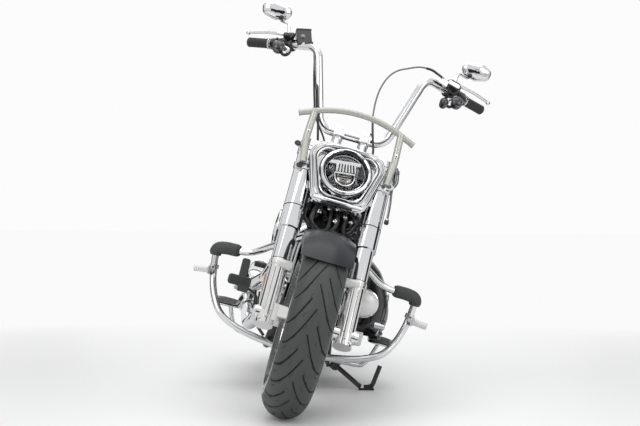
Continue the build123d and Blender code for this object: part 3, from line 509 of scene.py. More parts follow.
closed_tube("nacelle_lip_outer", nacelle_line(-5, 141), 7, CHROME, S, flat=1.4)
closed_tube("nacelle_lip_dark", nacelle_line(-9, 149), 2.6, BLACK, S)
closed_tube("nacelle_lip_middle", nacelle_line(-15, 152), 4.5, CHROME, S, flat=1.2)
closed_tube("nacelle_groove", nacelle_line(-22, 151), 2.0, BLACK, S)
closed_tube("nacelle_lip_inner", nacelle_line(-28, 152), 4, CHROME, S)
tube("nacelle_brow", [(-104, -146, 664), (-60, -156, 671), (0, -160, 674), (60, -156, 671), (104, -146, 664)],
    7, CHROME, S, seg=12)
tube("nacelle_chin", [(-86, -146, 456), (-40, -158, 448), (0, -161, 446), (40, -158, 448), (86, -146, 456)],
    7, CHROME, S, seg=12)
for k, z in enumerate((463, 471)):
    tube(f"nacelle_chin_line_{k}", [(-84 + 3 * k, -151, z), (0, -154, z - 6), (84 - 3 * k, -151, z)], 1.8,
        BLACK, S, seg=8)

# ---- mirrors ------------------------------------------------------------------------------------
HEAD = [(-64, 5), (-50, 29), (20, 36), (60, 16), (52, -21), (0, -35), (-48, -24)]


def mirror(side, word):
    """A domed shell, a rim and the glass on the rider's side, on a bent stem."""
    mx, my, mz = (-402, 10, 1296) if side < 0 else (413, 10, 1284)
    outline = rounded_corners([(x * side, z) for x, z in HEAD][::side], 19, 7)
    at = tr(mx, my, mz) @ rx(RAKE)
    rows = ((9, 0.93), (9.5, 1.0), (4, 1.005), (-3, 0.97), (-8, 0.88), (-12, 0.72), (-15, 0.48),
        (-16.6, 0.24), (-17.2, 0.02))
    verts = [(x * share, y, z * share) for y, share in rows for x, z in outline]
    faces = skin(len(rows), len(outline)) + ends(len(rows), len(outline))
    piece(f"mirror_shell_{word}", verts, faces, CHROME, S, at, hides=("mirrors",))
    slab(f"mirror_glass_{word}", [(x * 0.9, -z * 0.9) for x, z in outline], 1.2, at @ tr(0, 9.2, 0) @ rx(-90),
        MIRROR, S, bevel=0.5)
    closed_tube(f"mirror_rim_{word}", [(x * 0.97, 9.2, z * 0.97) for x, z in outline], 1.8, BLACK, S, m=at)
    tube(f"mirror_stem_{word}", [(side * 330, -40, 1140), (side * 334, -26, 1190), (side * 344, -12, 1234),
        (mx - side * 30, my + 10, mz - 34), (mx - side * 22, my + 6, mz - 14)], 5.2, CHROME, S,
        taper=lambda t: 1.25 - 0.35 * t)
    lathe(f"mirror_ball_{word}", [(-9, 5), (-7, 9), (0, 11), (7, 9), (9, 5)],
        tr(mx - side * 24, my + 4, mz - 22), BLACK, S, seg=24)


both_sides(mirror)

# ---- grips, switch gear and levers --------------------------------------------------------------
BAR_IN, BAR_OUT, BAR_END = (210, -114, 1096), (391, 32, 1152), (467, 81, 1167)


def on_bar(side, share, ahead=0.0, up=0.0):
    """A point on the bar between the bend and the grip."""
    p = Vector(BAR_IN).lerp(Vector(BAR_OUT), share) + Vector((0, -ahead, up))
    return (side * p.x, p.y, p.z)


def controls(side, word):
    """The grip, the switch drum with its buttons, and the lever with its perch."""
    inner, outer = (side * BAR_OUT[0], *BAR_OUT[1:]), (side * BAR_END[0], *BAR_END[1:])
    g = facing(inner, outer)
    length = (Vector(outer) - Vector(inner)).length
    rows = [(2, 15), (2.5, 20.5), (7, 20.5), (8, 18.6)]
    for k in range(13):
        z = 9 + k * (length - 14) / 12.5
        rows += [(z, 18.6), (z + 1.2, 17.6), (z + 2.4, 17.6), (z + 3.6, 18.6)]
    rows += [(length + 1, 18.6), (length + 2, 19.2), (length + 5, 17), (length + 6, 10)]
    lathe(f"grip_{word}", rows, g, RUBBER, S, seg=36, hides=once(side, "grips"))
    lathe(f"grip_flange_{word}", [(-5, 17), (-4, 21.5), (1, 21.5), (2, 17)], g, SATIN_CHROME, S, seg=36)
    a, b = on_bar(side, 0.50), on_bar(side, 0.94)
    drum = facing(a, b)
    reach = (Vector(b) - Vector(a)).length
    lathe(f"switch_drum_{word}", [(0, 15), (1, 22), (6, 24.5), (reach * 0.45, 25), (reach * 0.46, 22),
        (reach * 0.52, 22), (reach * 0.53, 25), (reach - 6, 24.5), (reach - 1, 22), (reach, 15)], drum, BLACK,
        S, seg=36, hides=once(side, "hand_controls"))
    for k, (along_by, turn_by) in enumerate(((0.25, -60), (0.25, -95), (0.7, -75), (0.7, -110))):
        slab(f"switch_button_{word}_{k}", rounded(15, 9, 3), 4, drum @ tr(0, 0,
            reach * along_by) @ rz(turn_by) @ tr(0, 24, 0) @ rx(-90), RUBBER, S, bevel=1)
    pivot = (side * 336, -58, 1146)
    blade = [(side * 318, -60, 1146), (side * 350, -56, 1149), (side * 402, -32, 1156),
        (side * 446, -2, 1163), (side * 482, 26, 1169)]
    tube(f"lever_{word}", blade, 7.4, CHROME, S, flat=0.62, taper=lambda t: 1.15 - 0.35 * t,
        hides=once(side, "hand_levers"))
    lathe(f"lever_tip_{word}", [(-8, 3), (-6, 7), (0, 8.4), (6, 7), (8, 3)],
        facing(blade[-1], (side * 500, 40, 1171)), CHROME, S, seg=20)
    slab(f"lever_perch_{word}", rounded(44, 24, 8), 16, tr(*pivot) @ ry(side * 17) @ tr(-side * 8, 0, -8),
        BLACK, S, bevel=3)
    studs(f"lever_pivot_{word}", [(pivot[0], pivot[1], 1154)], UP, 5, 5, CHROME, S)
    tube(f"perch_clamp_{word}", [on_bar(side, 0.70, 22, -12), on_bar(side, 0.70, 26, 6),
        on_bar(side, 0.70, 6, 24)], 6, BLACK, S)


both_sides(controls)
BOX = tr(-271, -62, 1146) @ ry(-17)
slab("brake_reservoir", rounded(56, 66, 5), 42, BOX @ tr(0, 20, 0) @ rx(90), BLACK, S, bevel=3)
slab("brake_reservoir_lid", rounded(59, 7, 3), 46, BOX @ tr(0, 22, 33) @ rx(90), BLACK, S, bevel=2)
lathe("brake_reservoir_window", [(0, 9), (2.5, 9), (3.5, 7), (3.5, 0.5)], BOX @ tr(-6, -22, 0) @ rx(90),
    DARK_CHROME, S, seg=28)
studs("brake_reservoir_screws", [(x, y, 34.5) for x in (-20, 20) for y in (-14, 14)], UP, 3, 2.5, CHROME, S,
    BOX)
CAP = tr(324, -60, 1133) @ ry(17)
slab("clutch_cap", rounded(50, 20, 10), 10, CAP @ tr(0, -8, 2) @ rx(90), CHROME, S, bevel=3)
slab("clutch_cap_edge", rounded(60, 28, 14), 24, CAP @ tr(0, 8, 2) @ rx(90), BLACK, S, bevel=3)
slab("clutch_body", rounded(34, 30, 8), 24, CAP @ tr(-36, 6, -14) @ rx(90), SATIN_CHROME, S, bevel=4)

# ---- front signals: bullet bodies, rings and domed lenses ---------------------------------------
for word, x, z, r in (("right", -355, 1092, 23), ("left", 352, 1076, 23), ("left_inner", 304, 1058, 17)):
    m = tr(x, -24, z) @ rx(90)
    lathe(f"signal_body_{word}", [(-4, r * 0.2), (-2, r * 0.55), (6, r * 0.86), (18, r * 0.98), (32, r),
        (33, r * 0.9)], m, BLACK, S, seg=36, hides=("front_signals",) if word == "right" else ())
    lathe(f"signal_ring_{word}", [(31, r * 1.0), (36, r * 1.02), (38, r * 0.96), (37, r * 0.86),
        (31, r * 0.86)], m, DARK_CHROME, S, seg=36, hoop=True)
    lathe(f"signal_lens_{word}", [(33, r * 0.88), (38, r * 0.84), (42, r * 0.6), (44, r * 0.3), (44.5, 0.4)],
        m, SMOKE, S, seg=36)
for side, word, z in ((-1, "right", 1092), (1, "left", 1076)):
    tube(f"signal_stalk_{word}", [(side * 352, -38, z), (side * 330, -34, z - 18), (side * 312, -36, z - 8),
        (side * 310, -32, z + 24), (side * 314, -24, z + 44)], 6, BLACK, S, seg=12)
    tube(f"signal_clip_{word}", [(side * 332, -50, z + 8), (side * 316, -54, z - 2),
        (side * 322, -50, z - 14)], 6, CHROME, S, seg=12)

# ---- cables -------------------------------------------------------------------------------------
tube("clutch_cable_sleeve", [(300, -56, 1142), (276, -36, 1180), (262, -30, 1192), (236, -30, 1203),
    (212, -30, 1204)], 5, BLACK, S, seg=12, hides=("control_cables",))
CLUTCH_RUN = [(236, -30, 1203), (208, -30, 1204), (182, -30, 1199), (151, -28, 1184), (108, -26, 1158),
    (78, -24, 1118), (60, -24, 1060), (54, -24, 996), (58, -26, 914), (72, -34, 840), (88, -36, 770),
    (92, -36, 702)]
tube("clutch_cable", CLUTCH_RUN, 3.2, CABLE, S, seg=12)
tube("clutch_cable_lower", CLUTCH_RUN[-4:], 4.4, BLACK, S, seg=12)
tube("brake_hose", [(-254, -66, 1124), (-246, -72, 1130), (-236, -74, 1136), (-226, -76, 1120),
    (-214, -80, 1090), (-196, -88, 1040), (-178, -74, 970), (-158, -60, 890), (-134, -54, 800),
    (-112, -46, 704)], 4.6, BLACK, S, seg=12)
tube("bar_wiring", [(-262, -92, 1110), (-236, -110, 1106), (-214, -92, 1060), (-196, -72, 990),
    (-172, -54, 905), (-150, -44, 840), (-100, -40, 760), (-82, -44, 704)], 3.6, RUBBER, S, seg=12)

# ---- risers and the clamp on the bars -----------------------------------------------------------
def riser(side, word):
    """A bright riser with its clamp cap, four bolts and a rubber cushion."""
    x = side * 50
    lathe(f"riser_{word}", [(0, 22), (6, 23), (10, 20), (16, 17.5), (92, 17.5), (100, 20), (104, 20)],
        tr(x, 0, 700), SATIN_CHROME, S, seg=36)
    slab(f"riser_cap_{word}", rounded(40, 54, 9), 24, tr(x, 0, 827), CHROME, S, bevel=4)
    slab(f"riser_seat_{word}", rounded(40, 54, 9), 22, tr(x, 0, 802), SATIN_CHROME, S, bevel=3)
    slab(f"riser_split_{word}", rounded(38, 52, 8), 2.4, tr(x, 0, 824.8), BLACK, S, bevel=0)
    studs(f"riser_bolts_{word}", [(x + dx, dy, 851) for dx in (-11, 11) for dy in (-19, 19)], UP, 4, 5,
        CHROME, S)
    lathe(f"riser_cushion_{word}", [(0, 26), (4, 31), (14, 33), (22, 30), (27, 20)], tr(x, -30, 702), RUBBER,
        S, seg=36, squeeze=(1, 0.6))


both_sides(riser)
slab("switch_panel", rounded(62, 26, 8), 20, tr(0, -24, 700), SATIN_CHROME, S, bevel=3)

# ---- hoses and wiring below the lamp ------------------------------------------------------------
for k, (u0, u1, u2, low, r) in enumerate(((-84, -96, -60, 392, 8), (-62, -58, -88, 408, 6),
        (-40, -66, -20, 380, 9), (-18, -8, -44, 372, 7), (6, 18, -10, 384, 8), (30, 48, 58, 392, 7),
        (52, 84, 66, 400, 9), (74, 92, 46, 412, 6), (-70, -30, 10, 424, 5), (60, 20, -24, 430, 5))):
    tube(f"hose_{k}", [(u0, -60, 520), (u0, -66 - 3 * (k % 3), 480), (u1, -70, 446), (u1, -58, low + 20),
        (u2, -44, low), (u2, -30, low + 50)], r, RUBBER if k % 2 else BLACK, S, seg=12)
for k, (u, w) in enumerate(((-50, 440), (12, 418), (44, 446), (-16, 462), (70, 430))):
    lathe(f"hose_fitting_{k}", [(-7, 6), (-6, 9), (-1, 9.5), (1, 8), (6, 8), (7, 5)],
        tr(u, -76, w) @ ry(30 * k) @ rx(20), STEEL, S, seg=16)
# a flat black sheet behind the hoses: painted shade in the dark space under the lamp
slab("painted_shade_behind_hoses", rounded(168, 150, 30), 4, tr(0, -26, 455) @ rx(90), BLACK, S, bevel=1)

# ---- windscreen straps and docks ----------------------------------------------------------------
for side, word in ((-1, "right"), (1, "left")):
    lathe(f"strap_cap_{word}", [(-3, 9), (-2, 13), (2, 14.5), (9, 14.5), (11, 12)], tr(side * 162, -158, 782),
        CREAM, S, seg=28)
    studs(f"strap_screws_{word}", [(side * 164, -152, z) for z in (742, 706)], (0, -1, 0.1), 4, 4, CHROME, S)
    lathe(f"brace_end_{word}", [(-6, 4), (-5, 10), (0, 12), (5, 12), (6, 9)],
        facing((side * 211, -150, 771), (side * 240, -146, 762)), CREAM, S, seg=24)
    studs(f"dock_screws_{word}", [(side * 150, -112, 662), (side * 128, -112, 662)], AHEAD, 4, 4, BLACK, S)
for k, (x, y, z) in enumerate(((-163, -114, 577), (-126, -112, 588), (-190, -106, 668))):
    lathe(f"dock_knob_{k}", [(0, 7), (1, 10), (4, 11.5), (7, 10), (8, 5)], tr(x, y, z) @ rx(90), RUBBER, S,
        seg=24)
tube("latch_lever", [(176, -116, 674), (184, -118, 650), (188, -112, 622), (182, -108, 604)], 9, DARK_CHROME,
    S, flat=0.7)
lathe("latch_ring", [(-5, 9), (-5, 15), (5, 15), (5, 9)], tr(166, -118, 590) @ rx(90), CHROME, S, seg=32,
    hoop=True)
lathe("latch_bolt", [(-5, 5), (6, 6), (8, 4)], tr(166, -118, 590) @ rx(90), DARK_CHROME, S, seg=20)
tube("latch_rod", [(180, -104, 592), (186, -106, 540), (189, -104, 480), (188, -102, 462)], 3.4, DARK_CHROME,
    S, seg=10)
lathe("latch_knob", [(0, 4), (2, 8), (9, 9), (14, 7), (16, 3)], tr(188, -102, 450), RUBBER, S, seg=20)

# ---- fork details -------------------------------------------------------------------------------
def fork_leg(side, word):
    """Seals, the fender boss, the drain bolt and the axle pinch bolts of one leg."""
    x = side * 139
    lathe(f"fork_seal_{word}", [(0, 34), (1, 37), (12, 37), (14, 34), (14, 30)], tr(x, -70, 193), ALUMINIUM,
        S, seg=48)
    # a thin black band at the edge of the cover's upper part: that edge, with painted shadow under it
    lathe(f"fork_edge_shadow_{word}", [(0, 40.2), (0, 40.9), (3, 40.9), (3, 40.2)], tr(x, -70, 424), BLACK, S,
        seg=48, hoop=True)
    lathe(f"fender_boss_{word}", [(0, 4), (0, 12), (3, 15.5), (48, 16.5), (52, 14), (53, 6), (53, 0.5)],
        facing((side * 147, -98, 190), (side * 97, -98, 186)), PALE, S, seg=36)
    for k in (-12, 12):
        tube(f"slider_rib_{word}_{k}", [(x + k, -101.5, 170), (x + k, -102.5, 90), (x + k, -101.5, 4)], 3.4,
            ALUMINIUM, S, seg=10)
    studs(f"slider_bolts_{word}", [(x, -103, -18), (x + side * 20, -96, -30)], AHEAD, 5, 5, CHROME, S)
    lathe(f"axle_nut_{word}", [(0, 20), (2, 21), (10, 21), (12, 16), (12, 9), (6, 8)],
        facing((side * 174, -72.4, 0), (side * 200, -72.4, 0)), CHROME, S, seg=6 if side < 0 else 36)


both_sides(fork_leg)
slab("axle_block_cover", rounded(34, 44, 7), 5, tr(-86, -97, 12) @ rx(90), PALE, S, bevel=2)
tube("front_brake_hose", [(104, -40, 430), (112, -30, 330), (104, -20, 250), (98, 20, 160), (100, 60, 110)],
    4.5, BLACK, S, seg=12)
HUB = PLACE[S].inverted() @ PLACE[WF]             # the front hub's frame, seen from the steering
studs("caliper_bolts", [(99, 100, 36), (99, 100, 84), (99, 142, 60)], LEFT, 6, 5, CHROME, S, HUB)
slab("caliper_cover", rounded(52, 60, 12), 5, HUB @ tr(98, 120, 60) @ ry(90) @ rz(90), SATIN_CHROME, S,
    bevel=2)

# ---- wheels -------------------------------------------------------------------------------------
FIFTH, SIXTH = 1.2566, 1.0472                   # turns between bolts, in radians
DISHES, DISH_CIRCLE, HOLES = 10, 150, 20        # round a wheel; round each circle of a disc
for body, word, half, depth in ((WF, "front", 58, 42), (WR, "rear", 106, 82)):
    for side in (-1, 1):
        face = ry(90 * side)
        lathe(f"{word}_rim_edge_{side}", [(half - 4, 231), (half + 2, 231), (half + 3, 226), (half + 2, 214),
            (half - 4, 212)], face, CHROME, body, seg=96, hoop=True)
        for k in range(DISHES):
            a = 2 * math.pi * k / DISHES
            lathe(f"{word}_wheel_dish_{side}_{k}", [(-6, 20), (1.5, 20), (3, 17), (1, 13), (-2, 12.5),
                (-2, 0.5)], face @ tr(*polar(DISH_CIRCLE, a), depth - 1), DARK_CHROME, body, seg=24)
for word, body, x, side in (("front", WF, 65, 1), ("rear", WR, -124, -1)):
    for r, start in ((112, 0), (125, 9), (138, 18)):
        for k in range(HOLES):
            a = rad(start + 18 * k)
            lathe(f"{word}_disc_hole_{r}_{k}", [(-0.6, 4.2), (0.5, 4.2), (0.6, 3.4), (-0.3, 3.0),
                (-0.3, 0.3)], tr(x, *polar(r, a)) @ ry(90 * side), BLACK, body, seg=12)
    studs(f"{word}_disc_bolts", [(x, *polar(48, k * FIFTH)) for k in range(5)], None, 6, 5, CHROME, body)
studs("pulley_bolts", [(144, *polar(60, k * FIFTH)) for k in range(5)], LEFT, 7, 6, CHROME, WR)

# ---- engine guard -------------------------------------------------------------------------------
GUARD = [(0, 650, 160), (120, 652, 168), (236, 658, 190), (318, 672, 226), (360, 694, 282), (383, 712, 340),
    (392, 720, 384), (398, 719, 430), (396, 716, 462), (376, 710, 474), (338, 703, 477), (300, 697, 479),
    (272, 692, 484), (240, 680, 498), (196, 645, 528), (150, 600, 560), (108, 550, 586), (66, 504, 610)]


def guard(side, word):
    """One loop of the guard, its pad, the clamp and the peg."""
    run = [(side * x, y, z) for x, y, z in GUARD]
    tube(f"guard_{word}", run, 13.5, CHROME, C, seg=20, hides=once(side, "engine_guard"))
    pad = [(side * x, y, z) for x, y, z in ((399, 718, 440), (399, 717, 458), (388, 714, 471),
        (360, 707, 477), (334, 703, 478), (308, 698, 479))]
    tube(f"guard_pad_{word}", pad, 25, PAD, C, seg=28, flat=0.92, taper=lambda t: 0.80 + 0.2 * min(1, 8 * t,
        12 * (1 - t)), hides=once(side, "guard_pads"))
    lathe(f"guard_collar_{word}", [(-10, 14), (-9, 18), (9, 18), (10, 14)],
        facing((side * 393, 720, 396), (side * 397, 719.5, 430)), SATIN_CHROME, C, seg=28)
    slab(f"peg_clamp_{word}", rounded(30, 40, 9), 30, tr(side * 400, 736, 380) @ rx(90), SATIN_CHROME, C,
        bevel=4, hides=once(side, "highway_pegs"))
    studs(f"peg_clamp_bolts_{word}", [(side * 396, 706, z) for z in (368, 393)], AHEAD, 5, 5, DARK_CHROME, C)
    rows = [(0, 8), (8, 9), (10, 13)]
    for k in range(6):
        rows += [(12 + 8 * k, 13.5), (16 + 8 * k, 13.5), (17 + 8 * k, 11.8), (19 + 8 * k, 11.8)]
    rows += [(60, 13.5), (63, 12), (64, 6)]
    lathe(f"highway_peg_{word}", rows, facing((side * 406, 720, 379), (side * 462, 717, 372)), PALE, C,
        seg=28)


both_sides(guard)
tube("guard_crossing", [(-40, 652, 158), (0, 656, 150), (40, 652, 158)], 15, CHROME, C, seg=20)

# ---- foot controls ------------------------------------------------------------------------------
PEDAL = tr(-280, 648, 372) @ rx(90)
slab("pedal_pad", rounded(90, 40, 12), 16, PEDAL, PAD, C, bevel=4, hides=("brake_pedal",))
slab("pedal_pad_lower", rounded(46, 36, 10, middle=(18, -22)), 14, PEDAL @ tr(0, 0, -1), PAD, C, bevel=4)
slab("pedal_post", rounded(32, 74, 10, middle=(8, 52)), 14, PEDAL @ tr(0, 0, -1), PAD, C, bevel=4)
for k in range(4):
    slab(f"pedal_rib_{k}", rounded(70, 3.4, 1.6, 3, (0, -12 + 8 * k)), 2, PEDAL @ tr(0, 0, 15.5), RUBBER, C,
        bevel=0.8)
studs("pedal_bolt", [(-287, 632, 344)], AHEAD, 6, 5, CHROME, C)
tube("pedal_arm", [(-262, 656, 350), (-232, 684, 342), (-208, 700, 326), (-200, 706, 296), (-194, 708, 262),
    (-172, 714, 214), (-140, 716, 182)], 9, BLACK, C, flat=0.55, seg=14)
for k, (dx, dz) in enumerate(((0, 0), (-17, 4))):
    tube(f"pedal_link_{k}", [(-196 + dx, 700, 346 + dz), (-188 + dx, 702, 300 + dz),
        (-182 + dx, 702, 262 + dz)], 5, BLACK, C)
slab("foot_bracket", [(-22, -34), (24, -30), (12, 36), (2, 38)], 8, tr(-186, 668, 272) @ rx(90), CHROME, C,
    bevel=2)
studs("foot_bracket_bolts", [(-184, 660, 250), (-180, 660, 276), (-178, 660, 296)], AHEAD, 5, 4, DARK_CHROME,
    C)
slab("side_reflector", rounded(22, 112, 5), 5, tr(-178, 650, 368) @ ry(-3) @ rx(90), AMBER, C, bevel=1.5)
slab("side_reflector_frame", rounded(28, 120, 7), 5, tr(-178, 655, 368) @ ry(-3) @ rx(90), PALE, C, bevel=1.5)


def board(side, word):
    """A bright footboard with a ribbed rubber mat and its hanger."""
    place = tr(side * 318, 880, 255)
    slab(f"floorboard_{word}", rounded(112, 300, 50, 10), 6, place, CHROME, C, bevel=2.5,
        hides=once(side, "floorboards"))
    slab(f"floorboard_mat_{word}", rounded(98, 284, 44, 10), 6, place @ tr(0, 0, 6), RUBBER, C, bevel=2)
    for k in range(11):
        slab(f"floorboard_rib_{word}_{k}", rounded(76 if 0 < k < 10 else 52, 7, 3, 3, (0, -120 + 24 * k)), 3,
            place @ tr(0, 0, 11), PAD, C, bevel=1)
    y = 735 if side > 0 else 880
    tube(f"floorboard_hanger_{word}", [(side * 128, y, 153), (side * 200, y + 1, 157),
        (side * 258, y + 4, 163), (side * 286, y + 14, 206), (side * 303, y + 24, 252)], 8.5, CHROME, C,
        seg=14)


both_sides(board)
tube("shift_lever", [(262, 800, 300), (276, 760, 298), (286, 712, 296), (290, 700, 316), (292, 692, 328)], 7,
    SATIN_CHROME, C, seg=14, hides=("shifter",))
lathe("shift_peg", [(0, 9), (2, 12), (10, 12.5), (20, 11.5), (30, 12.5), (40, 12), (44, 8)],
    facing((264, 690, 330), (306, 690, 330)), SATIN_CHROME, C, seg=24)
for k, z in enumerate((286, 304, 340, 352)):
    lathe(f"shift_link_{k}", [(-5, 5), (-4, 8), (4, 8), (5, 5)], tr(296 + 3 * (k % 2), 694, z) @ rx(90),
        DARK_CHROME, C, seg=16)

# ---- primary, cam and other covers --------------------------------------------------------------
PRIMARY, DOME_RADIUS = (930, 345), 217           # the dome's centre, y and z
DOME = facing((196, *PRIMARY), (400, *PRIMARY))
BOARD_CUT = Vector((300, 900, 276))             # a point of the level cut above the footboard
prof = [(0, 0.5), (0, 216), (12, 215.5), (28, 204), (42, 193), (54, 183), (67, 166), (79, 147), (91, 126),
    (101, 104), (110, 82), (117, 62), (123, 42), (126.5, 24), (128.5, 10), (129, 0.5)]


def dome_piece():
    """The dome's mesh cut level above the footboard."""
    o = lathe("primary_dome", prof, DOME, GLOSS_BLACK, C, seg=120, hides=("primary_cover",))
    bm = bmesh.new()
    bm.from_mesh(o.data)
    cut = PLACE[C]
    origin, normal = cut @ BOARD_CUT, (cut.to_3x3() @ Vector((0, 0, 1))).normalized()
    r = bmesh.ops.bisect_plane(bm, geom=bm.verts[:] + bm.edges[:] + bm.faces[:], plane_co=origin,
        plane_no=normal, clear_inner=True)
    edges = [e for e in r["geom_cut"] if isinstance(e, bmesh.types.BMEdge)]
    bmesh.ops.contextual_create(bm, geom=edges)
    bm.to_mesh(o.data)
    bm.free()
    o.data.shade_smooth()
    o.data.set_sharp_from_angle(angle=rad(40))


dome_piece()


def tangent_outline(circles, steps=40):
    """Points round two circles, (y, z, radius), and their outer tangents."""
    (y0, z0, r0), (y1, z1, r1) = circles
    reach, slope = math.hypot(y1 - y0, z1 - z0), math.atan2(z1 - z0, y1 - y0)
    swing = math.acos((r0 - r1) / reach)
    out = []
    for k in range(steps + 1):
        a = slope + swing + (2 * math.pi - 2 * swing) * k / steps
        out.append((y0 + r0 * math.cos(a), z0 + r0 * math.sin(a)))
    for k in range(steps + 1):
        a = slope - swing + 2 * swing * k / steps
        out.append((y1 + r1 * math.cos(a), z1 + r1 * math.sin(a)))
    return out


# local x, y, z are the bike's y, z, x
SIDE = Matrix(((0, 0, 1, 0), (1, 0, 0, 0), (0, 1, 0, 0), (0, 0, 0, 1)))
shape = tangent_outline(((868, 388, 148), (1046, 352, 132)))
slab("primary_case", shape, 104, tr(92, 0, 0) @ SIDE, GLOSS_BLACK, C, bevel=5)
for k, (share, x) in enumerate(((0.86, 252), (0.52, 305))):
    arc = [polar(DOME_RADIUS * share * 0.9, rad(a)) for a in range(-14, 195, 11)]
    tube(f"primary_trim_{k}", [(x, PRIMARY[0] + y, PRIMARY[1] + z) for y, z in arc], 2.2, DARK_CHROME, C,
        seg=10)
studs("primary_bolts", [(196, 1120, 430), (196, 1160, 350), (196, 1120, 270), (196, 1060, 236)], LEFT, 6, 5,
    CHROME, C)
HORN = facing((208, 740, 402), (208, 600, 402))
lathe("horn_cover_shell", [(20, 20), (22, 51), (26, 53), (36, 52), (44, 45), (50, 34), (55, 20), (57, 8),
    (57.5, 0.5)], HORN, PALE, C, seg=64, squeeze=(1.06, 1.0), hides=("horn_cover",))
lathe("horn_cover_ring", [(24, 52), (24, 56), (31, 57), (33, 53)], HORN, CHROME, C, seg=64, hoop=True)
tube("horn_bracket", [(150, 750, 402), (180, 748, 402), (208, 742, 402)], 11, BLACK, C, seg=14)
tube("case_hose", [(176, 742, 300), (206, 716, 306), (236, 706, 318), (256, 716, 338), (250, 740, 372)], 8,
    BLACK, C, seg=14)
slab("case_box", rounded(44, 56, 8), 30, tr(214, 742, 262) @ rx(90), SATIN_CHROME, C, bevel=4)
for k, (x0, y, r, z) in enumerate(((-138, 800, 104, 335), (-120, 1050, 78, 320))):
    face = facing((x0, y, z), (x0 - 50, y, z))
    lathe(f"cam_trim_{k}", [(0, r - 2), (3, r - 4), (6, r - 12), (4, r - 22), (7, r - 30), (8, r - 44),
        (8, 0.5)], face, CHROME, C, seg=72)
    studs(f"cam_bolts_{k}", [(x0 - 3, y + (r - 10) * math.cos(j * SIXTH), z + (r - 10) * math.sin(j * SIXTH))
        for j in range(6)], None, 5, 4, DARK_CHROME, C)
AIR = facing((-200, 800, 600), (-260, 800, 600))
lathe("air_cleaner_cover", [(-80, 86), (-70, 88.5), (-10, 88.5), (-2, 84), (2, 74), (-1, 64), (4, 56),
    (7, 30), (8, 0.5)], AIR, CHROME, C, seg=72, hides=("air_cleaner",))
lathe("air_cleaner_ring", [(-14, 89), (-14, 90.5), (-8, 90.5), (-8, 89)], AIR, BLACK, C, seg=72, hoop=True)
tube("air_cleaner_neck", [(-84, 800, 600), (-104, 800, 600), (-124, 800, 600)], 36, BLACK, C, seg=28)
for tilt, word in ((-22.5, "front"), (22.5, "rear")):
    head = tr(0, 800, 335) @ rx(-tilt)
    for side in (-1, 1):
        slab(f"rocker_cover_{word}_{side}", rounded(64, 118, 18), 34, head @ tr(side * 46, 0, 372), CHROME, C,
            bevel=7)
        studs(f"rocker_bolts_{word}_{side}", [(side * 46 + dx, dy, 406) for dx in (-22, 22)
            for dy in (-46, 46)], UP, 5, 5, DARK_CHROME, C, head)
    slab(f"head_block_{word}", rounded(150, 150, 34), 22, head @ tr(0, 0, 348), WRINKLE, C, bevel=4)
    lathe(f"spark_plug_{word}", [(0, 12), (14, 12), (16, 8), (38, 8), (44, 5)],
        head @ tr(84, 0, 330) @ ry(70), BLACK, C, seg=18)
for k, (low, high) in enumerate((((-112, 772, 400), (-96, 700, 650)), ((-112, 828, 400), (-96, 900, 650)))):
    reach = (Vector(high) - Vector(low)).length
    for end in (0.16, 0.90):
        lathe(f"pushrod_collar_{k}_{end}", [(-9, 11), (-8, 15), (8, 15), (9, 11)],
            facing(low, high) @ tr(0, 0, reach * end), CHROME, C, seg=24)
slab("seat_divider", rounded(176, 44, 16), 6, tr(0, 1393, 756) @ rx(90), LEATHER, C, bevel=1)
for side in (-1, 1):
    tube(f"oil_cooler_arm_{side}", [(side * 60, 506, 372), (side * 64, 560, 396), (side * 66, 612, 404)], 6,
        BLACK, C, seg=12)
for k in range(10):
    slab(f"oil_cooler_fin_{k}", rounded(182, 4, 1.8, 3), 10, tr(0, 500, 342 + 18.5 * k) @ rx(90), ALUMINIUM,
        C, bevel=0.8)

# ---- exhausts -----------------------------------------------------------------------------------
for k, (y, z) in enumerate(((1230, 236), (1240, 336))):
    run = facing((-250, y, z), (-262, y + 650, z + 22))
    lathe(f"muffler_{k}", [(-8, 24), (10, 27), (60, 44.6), (64, 45.4), (70, 44.8), (560, 44.8), (640, 44.8),
        (648, 45.8), (651, 44), (651, 38), (560, 37), (560, 0.5)], run, CHROME, C, seg=56)
    for at, low, high in ((2, 28, 31), (120, 45, 47), (600, 45, 47)):
        lathe(f"muffler_band_{k}_{at}", [(at, low), (at, high), (at + 14, high), (at + 14, low)], run,
            SATIN_CHROME, C, seg=48, hoop=True)
for k, run in enumerate(([(-150, 656, 330), (-168, 690, 276), (-206, 762, 214), (-222, 900, 216),
        (-240, 1110, 228)], [(-140, 1040, 560), (-164, 1062, 480), (-190, 1092, 402), (-206, 1124, 372)])):
    tube(f"exhaust_shield_{k}", run, 27, CHROME, C, seg=24, taper=lambda t: 0.86 + 0.14 * min(1, 8 * t,
        8 * (1 - t)))

# ---- tank, seats and rear end -------------------------------------------------------------------
for name, side in (("tank_cap", 1), ("tank_cap_dummy", -1)):
    lathe(name, [(-4, 34), (0, 35), (8, 35), (12, 31), (15, 18), (16, 0.5)],
        tr(side * 92, 690, 934) @ ry(side * 22), CHROME, C, seg=48)
slab("console_body", rounded(82, 216, 38, 10), 22, tr(0, 710, 940), CHROME, C, bevel=8,
    hides=("tank_console",))
slab("console_foot", rounded(84, 222, 40, 10), 30, tr(0, 710, 912), BLACK, C, bevel=3)
GAUGE = tr(0, 660, 956) @ rx(14)
lathe("dial_rim", [(0, 36), (10, 37), (14, 35), (14, 32), (9, 31), (9, 0.5)], GAUGE, CHROME, C, seg=56)
lathe("dial_glass", [(9, 31), (11, 31), (12, 0.5)], GAUGE, DIAL, C, seg=56)
for k in range(13):
    a = rad(225 - 22.5 * k)
    slab(f"dial_tick_{k}", rounded(1.4, 6, 0.6, 2), 0.6, GAUGE @ tr(*polar(25, a),
        12) @ rz(math.degrees(a) - 90), WHITE, C, bevel=0)
tube("dial_needle", [(0, 0, 12.8), (-9, 10, 12.8), (-17, 18, 12.8)], 0.9, AMBER, C, GAUGE, seg=8)
